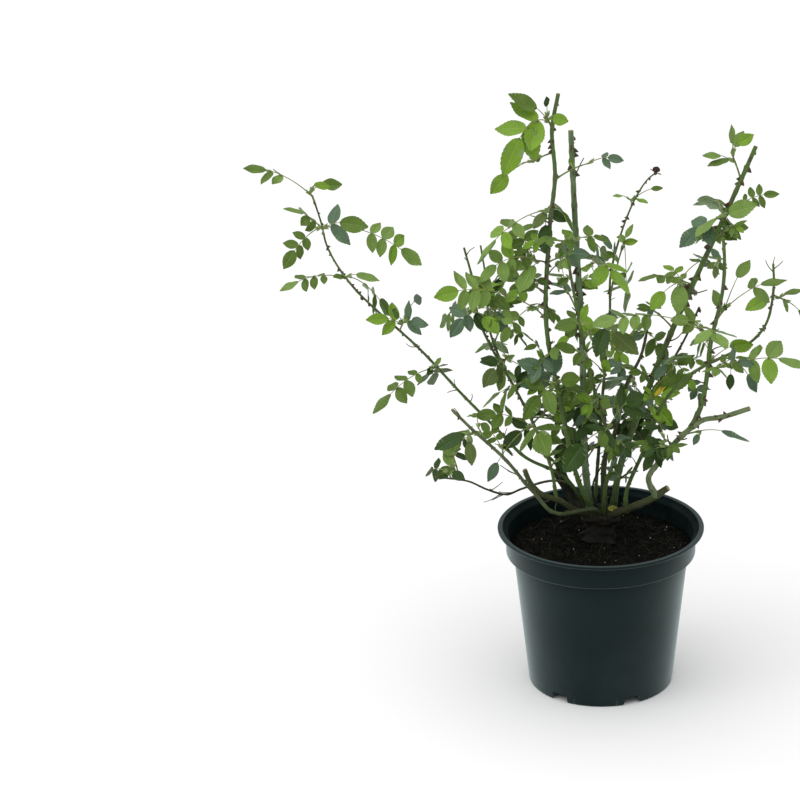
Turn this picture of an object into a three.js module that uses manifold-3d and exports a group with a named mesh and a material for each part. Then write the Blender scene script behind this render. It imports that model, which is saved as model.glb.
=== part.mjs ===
// Potted rose bush: a 7.5 litre nursery pot, its soil, the graft crown, bare and pruned canes,
// and leafy shoots. Millimetres, +Z up, origin at the centre of the pot's underside.
import * as THREE from 'three';
import { mergeVertices } from 'three/addons/utils/BufferGeometryUtils.js';
import Module from 'manifold-3d';

const wasm = await Module();
wasm.setup();

// Driving dimensions
const clearance = 0.3;

const pot = {
  height: 193, floor: 2.6, wall: 2.4, facets: 28,
  footRadius: 84.3, waistRadius: 101.3, waistHeight: 159, stepThickness: 1.8,
  bandRadius: 110, bandFoot: 162.5, bandTop: 189,
  rimRadius: 120, rimInner: 113.5, rimThickness: 2.6,
  ledgeInner: 57, ledgeOuter: 78, ledgeHeight: 11.4,
};
const notch = {
  count: 6, width: 18, height: 9.8, corner: 2, flare: 4, inner: 60, outer: 92, firstTurn: -65,
};
const soil = { edgeHeight: 166, shoulderRadius: 102, shoulderHeight: 168, crest: 173 };
const crown = { centre: [0, 21, 197], radii: [20, 19, 12], facets: 9, bands: 5, lump: 0.09 };
const neck = { girth: [36, 27], points: [[-2, 14, 171], [-1, 17, 182], [0, 20, 196]] };

// Old wood fused to the crown: a sawn stump behind it and a dry twig that leans in front
const oldWood = {
  stump: { girth: [16, 14], points: [[-12, 36, 192], [-28, 50, 201], [-44, 60, 226], [-50, 63, 238]] },
  twig: { girth: [3, 1.8], points: [[-2, 16, 200], [-9, 2, 232], [-8, -4, 250], [0, -10, 270]] },
};

// Every cane: its girth at foot and tip, and the points its centre line passes.
// A foot given as [cane, share] starts on that cane, at that share of its length.
const canes = {
  cane_tall_left: {
    girth: [5.8, 4.4],
    points: [[-8, 14, 203], [-26, 6, 248], [-46, -4, 351], [-61, -14, 447], [-56, -22, 569],
      [-50, -26, 627], [-53, -28, 681], [-46, -30, 723]],
  },
  cane_thick_left: {
    girth: [8.4, 6],
    points: [[-12, 26, 200], [-18, 24, 263], [-21, 32, 411], [-28, 40, 542], [-33, 44, 658]],
  },
  cane_front: {
    girth: [4.8, 3],
    points: [[3, 9, 203], [6, -4, 245], [15, -14, 285], [4, -22, 333], [-10, -30, 386],
      [-23, -42, 457], [-39, -60, 561]],
  },
  cane_bare_middle: {
    girth: [7.4, 2.6],
    points: [[4, 35, 200], [5, 42, 259], [16, 46, 288], [30, 56, 346], [47, 62, 381], [57, 68, 426]],
  },
  cane_leaning_right: {
    girth: [8, 5],
    points: [[14, 24, 200], [22, 31, 251], [49, 44, 329], [86, 60, 421], [144, 82, 548], [177, 96, 622]],
  },
  cane_bud: {
    girth: [4.4, 1.8],
    points: [[-7, 36, 203], [-3, 60, 250], [2, 92, 313], [11, 112, 417], [12, 118, 460],
      [25, 128, 510], [41, 134, 549], [55, 138, 570], [64, 140, 577]],
  },
  branch_low_right: {
    girth: [9.4, 7.4],
    points: [[8, 12, 200], [28, 2, 212], [57, -12, 231], [77, -18, 248]],
  },
  cane_low_left: {
    girth: [4.8, 3.4],
    points: [[-1, 6, 206], [-8, -5, 216], [-20, -14, 218], [-36, -24, 219], [-47, -33, 222],
      [-58, -40, 229], [-65, -45, 239], [-74, -49, 253], [-84, -54, 267], [-107, -62, 301],
      [-146, -80, 348], [-166, -90, 374]],
  },
  branch_old_left: {
    girth: [7, 5.6],
    points: [[-14, 12, 200], [-32, 0, 214], [-47, -6, 227], [-61, -12, 234.5], [-73, -17, 244],
      [-81, -20, 256], [-87, -22, 272]],
  },
  cane_left_arch: {
    girth: [4.2, 2],
    points: [[-14.5, 33, 199], [-42, 31, 241], [-88, 32, 266], [-119, 38, 297], [-158, 46, 336],
      [-208, 54, 391], [-285, 60, 467], [-312, 58, 514], [-319, 54, 548], [-327, 48, 581]],
  },
  cane_right: {
    girth: [4.8, 2.6], foot: ['branch_low_right', 0.3],
    points: [[30, 0, 236], [51, -4, 292], [72, -10, 351], [105, -20, 391],
      [169, -30, 432], [186, -33, 456], [193, -36, 498], [192, -38, 527]],
  },
  branch_cut_right: {
    girth: [6.6, 5.6], foot: ['branch_low_right', 0.8],
    points: [[55, -24, 263], [70, -34, 291], [90, -46, 322], [115, -60, 349], [136, -68, 356],
      [166, -80, 371]],
  },
  branch_dark_right: {
    girth: [3.2, 2.4], foot: ['cane_leaning_right', 0.29],
    points: [[74, 60, 359], [97, 70, 397], [114, 78, 434]],
  },
  cane_up_right: {
    girth: [6, 3.4], foot: ['branch_cut_right', 0.62],
    points: [[114, -62, 371], [119, -66, 405], [122, -72, 444], [134, -84, 509], [136, -90, 548],
      [134, -94, 577]],
  },
  cane_left_upright: {
    girth: [3.8, 2.6], foot: ['branch_old_left', 0.46],
    points: [[-57, -6, 268], [-70, 4, 302], [-95, 20, 350], [-124, 36, 398], [-140, 46, 433],
      [-146, 56, 474], [-156, 62, 513]],
  },
  cane_left_twin: {
    girth: [3, 2.2], foot: ['cane_left_upright', 0.53],
    points: [[-128, 44, 423], [-130, 52, 469], [-137, 64, 515]],
  },
  twig_low_left: {
    girth: [3.2, 2], points: [[-12, 38, 200], [-38, 45, 227], [-58, 50, 228], [-92, 50, 218],
      [-110, 47, 212], [-132, 42, 220], [-155, 37, 233], [-192, 28, 242]],
  },
};
const bud = { radius: 7, length: 15, lean: 12 };

// Every leafy shoot: the cane it grows from, the share of that cane's length where it meets it,
// its own stem as [turn, rise, length], and its leaves as [turn, rise, reach, pairs of side leaflets,
// leaflet length], with the stalk's lift added where it isn't the usual one.
// A turn of 0 points along +X and 90 towards the back, and a rise of 90 points straight up.
const shoots = {
  leaves_top_left: ['cane_tall_left', 0.92, [180, 70, 15],
    [[-145, -40, 80, 2, 46, 0.6], [-175, 35, 55, 0, 36], [-40, 5, 30, 0, 24], [-95, 70, 30, 0, 15]]],
  leaves_thin_left: ['cane_tall_left', 0.87, [140, -30, 35],
    [[125, -35, 15, 0, 15], [-170, -35, 65, 0, 28], [160, -25, 30, 0, 14]]],
  leaves_thin_right: ['cane_tall_left', 0.81, [40, 10, 50],
    [[115, 30, 15, 0, 24], [0, 5, 40, 1, 18]]],
  leaves_high_left: ['cane_tall_left', 0.73, [110, 0, 20],
    [[-125, -30, 30, 0, 28], [0, -35, 25, 0, 28], [-155, -30, 100, 1, 34], [-90, -45, 55, 0, 34],
      [65, -30, 85, 1, 28]]],
  leaves_hanging_left: ['cane_tall_left', 0.62, [-140, 20, 20],
    [[-135, -40, 45, 0, 36], [-165, -15, 70, 2, 26, 0.4], [120, 20, 80, 1, 30]]],
  leaves_long_left: ['cane_tall_left', 0.49, [-145, 45, 30],
    [[-155, 15, 130, 3, 30], [-95, 10, 25, 0, 28], [-150, -40, 55, 1, 20], [58, -35, 90, 1, 28]]],
  leaves_low_left_inner: ['cane_tall_left', 0.33, [-90, 25, 35],
    [[-165, 35, 55, 1, 40], [-40, 20, 40, 0, 32], [-140, -35, 60, 1, 34], [155, -25, 105, 1, 30]]],
  leaves_upper_middle: ['cane_thick_left', 0.71, [-95, 25, 35],
    [[-125, -15, 35, 0, 31], [125, 15, 25, 0, 20], [25, -10, 45, 1, 22], [65, -30, 105, 1, 28]]],
  leaves_middle_right: ['cane_thick_left', 0.64, [-50, 30, 30],
    [[-45, -15, 70, 1, 36, 0.5], [-95, 5, 30, 0, 24], [-75, -25, 30, 0, 14], [85, -20, 90, 1, 26]]],
  leaves_inner_twig: ['cane_thick_left', 0.51, [115, 30, 65],
    [[140, 15, 35, 1, 24], [100, 20, 50, 0, 24], [90, -25, 75, 0, 28]]],
  leaves_low_middle: ['cane_thick_left', 0.24, [80, 5, 50],
    [[120, 10, 70, 1, 32], [0, 15, 20, 1, 30], [90, -35, 125, 1, 30], [-155, -20, 50, 1, 30]]],
  leaves_front_upper: ['cane_front', 0.7, [-90, 30, 35],
    [[-145, 5, 35, 0, 31], [0, 70, 25, 0, 20], [-35, -15, 80, 1, 38]]],
  leaves_front_middle: ['cane_front', 0.47, [-60, 50, 40],
    [[-55, 20, 45, 0, 44], [-75, 55, 35, 0, 24], [-160, 35, 75, 1, 26]]],
  leaves_front_low: ['cane_front', 0.32, [-90, 30, 45],
    [[-130, -20, 85, 0, 42], [-45, 45, 80, 1, 32], [-100, -5, 50, 1, 28]]],
  leaves_bud_top: ['cane_bud', 0.885, [95, 0, 20],
    [[10, 20, 40, 0, 14], [-155, 20, 25, 0, 13], [-35, 0, 25, 0, 17]]],
  leaves_bud_fork: ['cane_bud', 0.61, [-30, 75, 75],
    [[180, 60, 40, 1, 22], [35, 60, 35, 1, 18], [87, -55, 145, 1, 34]]],
  leaves_middle_top: ['cane_bare_middle', 0.89, [85, -5, 30],
    [[120, -25, 50, 1, 24], [180, -30, 20, 0, 22], [0, -60, 45, 1, 26]]],
  leaves_middle_low: ['cane_bare_middle', 0.62, [70, 0, 30],
    [[70, -15, 75, 1, 32], [135, -25, 50, 1, 30], [85, -40, 130, 1, 38], [0, -85, 65, 1, 30]]],
  leaves_top_right: ['cane_leaning_right', 0.91, [180, 70, 35],
    [[-170, 15, 40, 0, 22], [-155, -5, 35, 0, 28], [180, 85, 40, 0, 23], [60, 35, 35, 0, 25],
      [30, 30, 35, 0, 23]]],
  leaves_right_high: ['cane_leaning_right', 0.8, [-95, 30, 16],
    [[-160, -30, 60, 1, 32], [10, 20, 70, 2, 18], [-140, -15, 45, 0, 36], [-20, 25, 45, 0, 44],
      [94, -15, 135, 1, 32]]],
  leaves_right_middle: ['cane_leaning_right', 0.62, [-150, 25, 20],
    [[-170, 5, 55, 2, 23], [-140, -25, 55, 0, 27], [-100, -50, 40, 0, 34], [55, 0, 90, 1, 28]]],
  leaves_right_inner: ['cane_leaning_right', 0.27, [-70, 40, 30],
    [[-10, 35, 70, 0, 40], [10, 45, 80, 0, 20], [-55, -10, 55, 0, 32], [-30, 25, 50, 1, 26]]],
  leaves_right_low: ['cane_leaning_right', 0.15, [70, 5, 24],
    [[105, -20, 100, 1, 30], [-40, 0, 50, 0, 30], [70, -25, 115, 1, 32], [-40, 70, 45, 1, 34]]],
  leaves_edge_top: ['cane_right', 0.9, [40, -30, 20],
    [[10, 15, 30, 0, 24], [-155, -10, 45, 0, 30], [35, -60, 20, 0, 20], [0, -45, 40, 0, 20]]],
  leaves_edge_low: ['cane_right', 0.63, [-60, 5, 35],
    [[-95, -55, 35, 0, 18], [0, -55, 45, 0, 24], [-15, 0, 85, 2, 40]]],
  leaves_round: ['cane_right', 0.56, [55, 0, 25],
    [[-35, 30, 70, 0, 34], [140, 70, 40, 0, 16], [105, -5, 85, 1, 28]]],
  leaves_up_right_top: ['cane_up_right', 0.86, [-150, 40, 12],
    [[180, 60, 20, 0, 14], [-110, -60, 20, 1, 14]]],
  leaves_up_right_long: ['cane_up_right', 0.47, [-145, 50, 25],
    [[-160, 10, 135, 3, 29], [-70, 0, 75, 1, 32]]],
  leaves_up_right_out: ['cane_up_right', 0.57, [40, 40, 20],
    [[180, 70, 30, 0, 22], [-70, 45, 15, 0, 24], [0, 65, 65, 0, 25], [15, 20, 75, 1, 30]]],
  leaves_low_right: ['branch_cut_right', 0.53, [-25, 20, 25],
    [[-15, -5, 65, 0, 34], [-120, -30, 20, 0, 15]]],
  leaves_low_left: ['cane_low_left', 0.83, [-120, 15, 20],
    [[180, -5, 20, 0, 20], [-155, -15, 45, 0, 42], [-75, -60, 35, 0, 26]]],
  leaves_low_round: ['twig_low_left', 0.91, [-120, 60, 12],
    [[-125, 0, 20, 0, 18], [-40, 0, 25, 0, 20], [135, -20, 45, 1, 20]]],
  leaves_arch_tip: ['cane_left_arch', 0.985, [-145, 65, 15],
    [[-170, 25, 85, 2, 26], [-25, 25, 30, 0, 22, 0.9], [25, 5, 40, 0, 25]]],
  leaves_arch_upper: ['cane_left_arch', 0.9, [-95, 45, 20],
    [[-160, 35, 55, 2, 26], [-10, 5, 55, 1, 34], [10, -25, 125, 3, 30], [-150, -40, 65, 1, 24]]],
  leaves_arch_middle: ['cane_left_arch', 0.77, [-105, 40, 20],
    [[-160, -5, 80, 2, 24], [-135, 15, 20, 0, 24], [-5, -5, 40, 0, 28], [40, -45, 90, 1, 28]]],
  leaves_arch_low: ['cane_left_arch', 0.61, [-60, 50, 20],
    [[-160, 15, 45, 1, 27], [-120, 45, 35, 0, 22], [-30, 5, 35, 1, 28], [75, 5, 65, 0, 26]]],
  leaves_arch_droop: ['cane_left_arch', 0.48, [-125, 30, 18],
    [[-155, -30, 90, 2, 30], [0, 55, 15, 0, 16], [-115, -20, 15, 0, 16], [92, -35, 90, 1, 28]]],
  leaves_upright_middle: ['cane_left_upright', 0.75, [-115, 30, 25],
    [[-155, -45, 40, 1, 26], [-50, -30, 35, 0, 28], [-45, -20, 50, 0, 29], [-20, -5, 60, 0, 22],
      [115, -30, 100, 1, 28]]],
  leaves_upright_low: ['cane_left_upright', 0.53, [-80, 45, 30],
    [[-160, 5, 30, 0, 20], [-20, 30, 15, 0, 18], [-130, -30, 45, 1, 26], [-25, -35, 60, 1, 24],
      [103, -15, 110, 1, 28]]],
  leaves_upright_foot: ['cane_left_upright', 0.26, [-105, 35, 40],
    [[-170, 15, 70, 1, 24], [-145, -25, 45, 1, 30], [-135, -35, 85, 0, 24], [-75, -5, 75, 1, 40]]],
};

// How every leaf is built. Angles in degrees.
const leaf = {
  lift: 0.26, stalkGirth: [1.8, 1.2], pairStep: 0.5, firstPair: 0.3, lowestPair: 0.16, rootLength: 2.2,
  swing: [60, 78], jitter: 4, droop: [4, 28], roll: 38, pairShrink: 0.08, sideSize: [0.8, 0.95],
  width: 0.62, widest: 0.46, thickness: 1.2, fold: 0.05, curl: 0.08, rootShare: 1.5,
};
// Blades turn their upper faces towards this [turn, rise], where most light came from.
const lightFrom = [-90, 50];
const stem = {
  girth: [2.4, 1.7], step: 16, lift: 0.1, sides: 3, caneShare: 0.66, inset: 0.2, leafy: [0.55, 0.97],
};
const limb = { step: 34, sides: [5, 6], slender: 6.5 };

const up = new THREE.Vector3(0, 0, 1);
const radians = THREE.MathUtils.degToRad;
const mix = THREE.MathUtils.lerp;

// A repeatable run of numbers from 0 to 1
function seeded(seed) {
  let state = seed >>> 0;
  return () => {
    state = (state + 0x6d2b79f5) >>> 0;
    let bits = Math.imul(state ^ (state >>> 15), 1 | state);
    bits = (bits + Math.imul(bits ^ (bits >>> 7), 61 | bits)) ^ bits;
    return ((bits ^ (bits >>> 14)) >>> 0) / 4294967296;
  };
}

function point(values) {
  return new THREE.Vector3(...values);
}

function heading(turn, rise) {
  const [round, steep] = [radians(turn), radians(rise)];
  const flat = Math.cos(steep);
  return new THREE.Vector3(flat * Math.cos(round), flat * Math.sin(round), Math.sin(steep));
}

function toSolid(geometry) {
  const bare = geometry.clone();
  bare.deleteAttribute('normal');
  bare.deleteAttribute('uv');
  const merged = mergeVertices(bare, 1e-4);
  const kept = [];
  const index = merged.index.array;
  for (let i = 0; i < index.length; i += 3) {
    const [a, b, c] = [index[i], index[i + 1], index[i + 2]];
    if (a !== b && b !== c && c !== a) kept.push(a, b, c);
  }
  return new wasm.Manifold(new wasm.Mesh({
    numProp: 3,
    vertProperties: new Float32Array(merged.attributes.position.array),
    triVerts: new Uint32Array(kept),
  }));
}

function toMesh(name, solid, material) {
  const { vertProperties, triVerts } = solid.getMesh();
  const geometry = new THREE.BufferGeometry();
  geometry.setAttribute('position', new THREE.BufferAttribute(vertProperties, 3));
  geometry.setIndex(new THREE.BufferAttribute(triVerts, 1));
  geometry.computeVertexNormals();
  const mesh = new THREE.Mesh(geometry, material);
  mesh.name = name;
  return mesh;
}

function fuse(solids) {
  return solids.reduce((whole, next) => whole.add(next));
}

function closedGeometry(vertices, faces) {
  const geometry = new THREE.BufferGeometry();
  const places = vertices.flatMap((vertex) => vertex.toArray());
  geometry.setAttribute('position', new THREE.Float32BufferAttribute(places, 3));
  geometry.setIndex(faces.flat());
  return geometry;
}

// A tapering tube of flat facets along a curve, closed by a flat fan at both ends
function tube(curve, girth, sides, rings, spare = 0) {
  const centres = curve.getSpacedPoints(rings);
  const vertices = [];
  const faces = [];
  const across = new THREE.Vector3();
  centres.forEach((centre, ring) => {
    const along = curve.getTangentAt(ring / rings);
    if (ring === 0) across.crossVectors(along, Math.abs(along.z) > 0.8 ? new THREE.Vector3(1, 0, 0) : up);
    across.addScaledVector(along, -across.dot(along)).normalize();
    const other = new THREE.Vector3().crossVectors(along, across);
    const radius = mix(girth[0], girth[1], ring / rings) / 2 + spare;
    if (ring === 0) centre.addScaledVector(along, -spare);
    if (ring === rings) centre.addScaledVector(along, spare);
    for (let side = 0; side < sides; side += 1) {
      const turn = (2 * Math.PI * side) / sides;
      vertices.push(centre.clone()
        .addScaledVector(across, radius * Math.cos(turn))
        .addScaledVector(other, radius * Math.sin(turn)));
      const [here, next] = [ring * sides + side, ring * sides + ((side + 1) % sides)];
      if (ring < rings) faces.push([here, next, next + sides], [here, next + sides, here + sides]);
    }
  });
  const last = rings * sides;
  for (let side = 1; side < sides - 1; side += 1) {
    faces.push([0, side + 1, side], [last, last + side, last + side + 1]);
  }
  return closedGeometry(vertices, faces);
}

// A turned solid from [radius, height] corners that start and end on the axis
function turned(corners, facets) {
  const profile = corners.map(([radius, height]) => new THREE.Vector2(radius, height));
  return toSolid(new THREE.LatheGeometry(profile, facets).rotateX(Math.PI / 2));
}

function makePot() {
  const lean = (pot.waistRadius - pot.footRadius) / pot.waistHeight;
  const inner = (height) => pot.footRadius + lean * height - pot.wall;
  const shell = turned([
    [0, 0], [pot.footRadius - 2, 0], [pot.footRadius, 4],
    [pot.waistRadius, pot.waistHeight], [pot.bandRadius, pot.bandFoot], [pot.bandRadius, pot.bandTop],
    [pot.rimRadius, pot.height - pot.rimThickness], [pot.rimRadius, pot.height - 2],
    [pot.rimRadius - 3, pot.height], [pot.rimInner, pot.height],
    [pot.bandRadius - pot.wall, pot.bandTop - 2],
    [pot.bandRadius - pot.wall, pot.bandFoot + pot.stepThickness],
    [inner(pot.waistHeight), pot.waistHeight + pot.stepThickness],
    [inner(pot.ledgeHeight + 3), pot.ledgeHeight + 3],
    [pot.ledgeOuter, pot.ledgeHeight], [pot.ledgeInner + 2, pot.ledgeHeight],
    [pot.ledgeInner - 1.5, pot.floor], [0, pot.floor],
  ], pot.facets);
  const arch = new THREE.Shape();
  const half = notch.width / 2;
  arch.moveTo(-half - notch.flare, -1);
  arch.lineTo(half + notch.flare, -1);
  arch.lineTo(half + notch.flare, 0);
  arch.quadraticCurveTo(half, 0, half, notch.flare);
  arch.lineTo(half, notch.height - notch.corner);
  arch.quadraticCurveTo(half, notch.height, half - notch.corner, notch.height);
  arch.lineTo(notch.corner - half, notch.height);
  arch.quadraticCurveTo(-half, notch.height, -half, notch.height - notch.corner);
  arch.lineTo(-half, notch.flare);
  arch.quadraticCurveTo(-half, 0, -half - notch.flare, 0);
  const depth = notch.outer - notch.inner;
  const gap = new THREE.ExtrudeGeometry(arch, { depth, bevelEnabled: false, curveSegments: 2 });
  gap.rotateX(Math.PI / 2).rotateZ(Math.PI / 2).translate(notch.inner, 0, 0);
  const gaps = Array.from({ length: notch.count }, (_, i) => (
    toSolid(gap.clone().rotateZ(radians(notch.firstTurn + (i * 360) / notch.count)))));
  return shell.subtract(fuse(gaps));
}

function makeSoil(raised = 0) {
  const lean = (pot.waistRadius - pot.footRadius) / pot.waistHeight;
  const inner = (height) => pot.footRadius + lean * height - pot.wall - clearance;
  const foot = pot.ledgeHeight + clearance;
  return turned([
    [0, pot.floor + clearance], [pot.ledgeInner - 1.5 - clearance, pot.floor + clearance],
    [pot.ledgeInner + 2 - clearance, foot], [pot.ledgeOuter - clearance, foot],
    [inner(foot + 3), foot + 3], [inner(pot.waistHeight), pot.waistHeight + pot.stepThickness + clearance],
    [pot.bandRadius - pot.wall - clearance, pot.bandFoot + pot.stepThickness + clearance],
    [pot.bandRadius - pot.wall - clearance, soil.edgeHeight + raised],
    [soil.shoulderRadius, soil.shoulderHeight + raised],
    [0, soil.crest + raised],
  ], pot.facets);
}

function curveOf(points) {
  return new THREE.CatmullRomCurve3(points, false, 'centripetal');
}

const curves = {};
for (const [name, cane] of Object.entries(canes)) {
  const points = cane.points.map(point);
  if (cane.foot) points.unshift(curves[cane.foot[0]].getPointAt(cane.foot[1]));
  curves[name] = curveOf(points);
}

function makeCane(name, spare = 0) {
  const { girth } = canes[name];
  const rings = Math.max(3, Math.round(curves[name].getLength() / limb.step));
  const sides = girth[0] < limb.slender ? limb.sides[0] : limb.sides[1];
  return toSolid(tube(curves[name], girth, sides, rings, spare));
}

// The withered bud: an eight-sided drop on the tip of its cane
function makeBud() {
  const tip = curves.cane_bud.getPointAt(1);
  const drop = new THREE.SphereGeometry(bud.radius, 8, 5).scale(1, 1, bud.length / bud.radius / 2);
  return toSolid(drop.rotateY(radians(bud.lean)).translate(tip.x, tip.y, tip.z + bud.length / 4));
}

function makeCrown(limbs, soilRaised) {
  const chance = seeded(11);
  const knob = new THREE.SphereGeometry(1, crown.facets, crown.bands).toNonIndexed();
  const lumps = new Map();
  const place = knob.attributes.position;
  for (let i = 0; i < place.count; i += 1) {
    const spot = new THREE.Vector3().fromBufferAttribute(place, i);
    const key = spot.toArray().map((value) => value.toFixed(3) * 1).join();
    if (!lumps.has(key)) lumps.set(key, 1 + crown.lump * (2 * chance() - 1));
    spot.multiplyScalar(lumps.get(key));
    place.setXYZ(i, spot.x, spot.y, spot.z);
  }
  knob.scale(...crown.radii).translate(...crown.centre);
  const old = [neck, ...Object.values(oldWood)].map(({ girth, points }) => (
    toSolid(tube(curveOf(points.map(point)), girth, limb.sides[1], 4))));
  const whole = fuse([toSolid(knob), ...old]);
  return [...limbs, soilRaised].reduce((rest, next) => rest.subtract(next), whole);
}

// A compound leaf as one closed surface. Its four-sided stalk arches from its start to its reach, and
// opens at each pair of rings into two folded leaflets, and at its end into the last one. The seeded
// run gives the stalk's roll and swing, and each side leaflet's jitter, droop and size, in that order.
function compoundLeaf(start, [turn, rise, reach, pairs, size, lift = leaf.lift], chance, spare) {
  const tip = start.clone().addScaledVector(heading(turn, rise), reach);
  const middle = start.clone().lerp(tip, 0.5).addScaledVector(up, lift * reach);
  const curve = new THREE.QuadraticBezierCurve3(start, middle, tip);
  const run = curve.getLength();
  let end = 1;
  while (end > leaf.lowestPair * (pairs + 1) && curve.getPoint(end).distanceTo(tip) < size) end -= 0.01;
  const roll = radians(leaf.roll) * (2 * chance() - 1);
  const swing = mix(...leaf.swing, chance());
  const vertices = [];
  const faces = [];
  const add = (vertex) => vertices.push(vertex) - 1;

  const makeRing = (share) => {
    const centre = curve.getPoint(share);
    const along = curve.getTangent(share);
    const level = new THREE.Vector3().crossVectors(heading(...lightFrom), along).normalize();
    const normal = new THREE.Vector3().crossVectors(along, level).applyAxisAngle(along, roll);
    const left = new THREE.Vector3().crossVectors(normal, along);
    const radius = mix(...leaf.stalkGirth, share) / 2 + spare;
    const corners = [normal, left, normal.clone().negate(), left.clone().negate()].map((way) => (
      add(centre.clone().addScaledVector(way, radius))));
    return { share, centre, along, normal, left, corners };
  };
  // Joins the root loop, its first corner on top and given clockwise as seen from the leaflet's tip,
  // to a blade with two edge corners, a tip, and a middle on each face
  const addBlade = (loop, base, out, normal, length) => {
    const side = new THREE.Vector3().crossVectors(normal, out).normalize();
    const face = new THREE.Vector3().crossVectors(out, side);
    const at = (share, sideways, above) => add(base.clone()
      .addScaledVector(out, share * length)
      .addScaledVector(side, sideways)
      .addScaledVector(face, above));
    const half = (leaf.width * length) / 2 + spare;
    const thick = leaf.thickness / 2 + spare;
    const hollow = -leaf.fold * length;
    const [near, far] = [at(leaf.widest, half, 0), at(leaf.widest, -half, 0)];
    const end = at(1 + spare / length, 0, -leaf.curl * length);
    const [above, below] = [at(leaf.widest, 0, hollow + thick), at(leaf.widest, 0, hollow - thick)];
    const [topRun, underRun] = loop;
    const fan = (corners, centre) => corners.slice(1).forEach((corner, i) => (
      faces.push([corners[i], corner, centre])));
    fan([...topRun, far, end, near, topRun[0]], above);
    fan([...underRun, near, end, far, underRun[0]], below);
  };

  const rings = [makeRing(0)];
  for (let pair = pairs - 1; pair >= 0; pair -= 1) {
    const wanted = end - ((leaf.firstPair + leaf.pairStep * pair) * size) / run;
    const lowest = leaf.lowestPair * (pairs - pair);
    const share = Math.max(wanted, lowest);
    const half = leaf.rootLength / 2 / run;
    rings.push(makeRing(share - half), makeRing(share + half));
  }
  rings.push(makeRing(end));
  faces.push([rings[0].corners[0], rings[0].corners[1], rings[0].corners[2]]);
  faces.push([rings[0].corners[0], rings[0].corners[2], rings[0].corners[3]]);
  rings.slice(1).forEach((next, i) => {
    const here = rings[i];
    const leafy = i % 2 === 1;
    const [a, b] = [here.corners, next.corners];
    if (!leafy) {
      for (let side = 0; side < 4; side += 1) {
        const following = (side + 1) % 4;
        faces.push([a[side], b[side], b[following]], [a[side], b[following], a[following]]);
      }
      return;
    }
    const pair = pairs - 1 - (i - 1) / 2;
    for (const hand of [1, -1]) {
      const sway = radians(swing + leaf.jitter * (2 * chance() - 1));
      const droop = radians(mix(...leaf.droop, chance()));
      const length = size * (1 - leaf.pairShrink * pair) * mix(...leaf.sideSize, chance());
      const out = here.along.clone().applyAxisAngle(here.normal, hand * sway);
      out.multiplyScalar(Math.cos(droop)).addScaledVector(here.normal, -Math.sin(droop));
      const base = here.centre.clone().lerp(next.centre, 0.5);
      const edge = hand > 0 ? 1 : 3;
      const loop = hand > 0
        ? [[a[edge], a[0], b[0], b[edge]], [b[edge], b[2], a[2], a[edge]]]
        : [[b[edge], b[0], a[0], a[edge]], [a[edge], a[2], b[2], b[edge]]];
      addBlade(loop, base, out, here.normal, length);
    }
  });
  const last = rings[rings.length - 1];
  const way = tip.clone().sub(last.centre);
  const c = last.corners;
  const curled = way.clone().addScaledVector(last.normal, leaf.curl * way.length()).normalize();
  addBlade([[c[1], c[0], c[3]], [c[3], c[2], c[1]]], last.centre, curled, last.normal, way.length());
  return toSolid(closedGeometry(vertices, faces));
}

// A shoot's stem starts inside its cane and is cut back to clear it. A leaf that would touch
// anything made before it, or cross a leaf of its own shoot, is skipped.
function makeShoot(name, number, taken, grownCanes) {
  const [cane, share, [turn, rise, length], leaves] = shoots[name];
  const caneGirth = mix(...canes[cane].girth, share);
  const axis = curves[cane].getPointAt(share);
  const foot = axis.clone().addScaledVector(heading(turn, rise), stem.inset * caneGirth);
  const tip = axis.clone().addScaledVector(heading(turn, rise), length);
  const middle = foot.clone().lerp(tip, 0.5).addScaledVector(up, stem.lift * length);
  const curve = new THREE.QuadraticBezierCurve3(foot, middle, tip);
  const rings = Math.max(2, Math.round(length / stem.step));
  const girth = [Math.min(stem.girth[0], stem.caneShare * caneGirth), stem.girth[1]];
  const run = toSolid(tube(curve, girth, stem.sides, rings)).subtract(grownCanes[cane]);
  const grown = [];
  leaves.forEach((row, order) => {
    const start = curve.getPoint(mix(...stem.leafy, leaves.length > 1 ? order / (leaves.length - 1) : 1));
    const seed = number * 100 + order;
    const spared = compoundLeaf(start, row, seeded(seed), clearance);
    const isClear = taken.every((solid) => spared.intersect(solid).isEmpty())
      && grown.every((other) => spared.intersect(other).volume() < leaf.rootShare);
    if (isClear) grown.push(compoundLeaf(start, row, seeded(seed), 0));
  });
  return fuse([run, ...grown]);
}

const finish = (color, roughness) => new THREE.MeshStandardMaterial({ color, roughness, metalness: 0 });
const looks = {
  pot: finish('#2c3638', 0.42),
  soil: finish('#1d1814', 0.95),
  crown: finish('#5a4a36', 0.85),
  cane: finish('#5d7440', 0.6),
  leaf: finish('#548232', 0.5),
};

const group = new THREE.Group();
group.add(toMesh('pot', makePot(), looks.pot), toMesh('soil', makeSoil(), looks.soil));
const grownCanes = {};
const taken = [];
for (const name of Object.keys(canes)) {
  const { foot } = canes[name];
  let solid = name === 'cane_bud' ? makeCane(name).add(makeBud()) : makeCane(name);
  grownCanes[name] = makeCane(name, clearance);
  if (foot) solid = solid.subtract(grownCanes[foot[0]]);
  taken.push(solid);
  group.add(toMesh(name, solid, looks.cane));
}
const crownSolid = makeCrown(Object.values(grownCanes), makeSoil(clearance));
taken.push(crownSolid, makeSoil(), makePot());
group.add(toMesh('crown', crownSolid, looks.crown));
Object.keys(shoots).forEach((name, number) => {
  const solid = makeShoot(name, number, taken, grownCanes);
  taken.push(solid);
  group.add(toMesh(name, solid, looks.leaf));
});

export default group;
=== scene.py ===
import math

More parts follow.
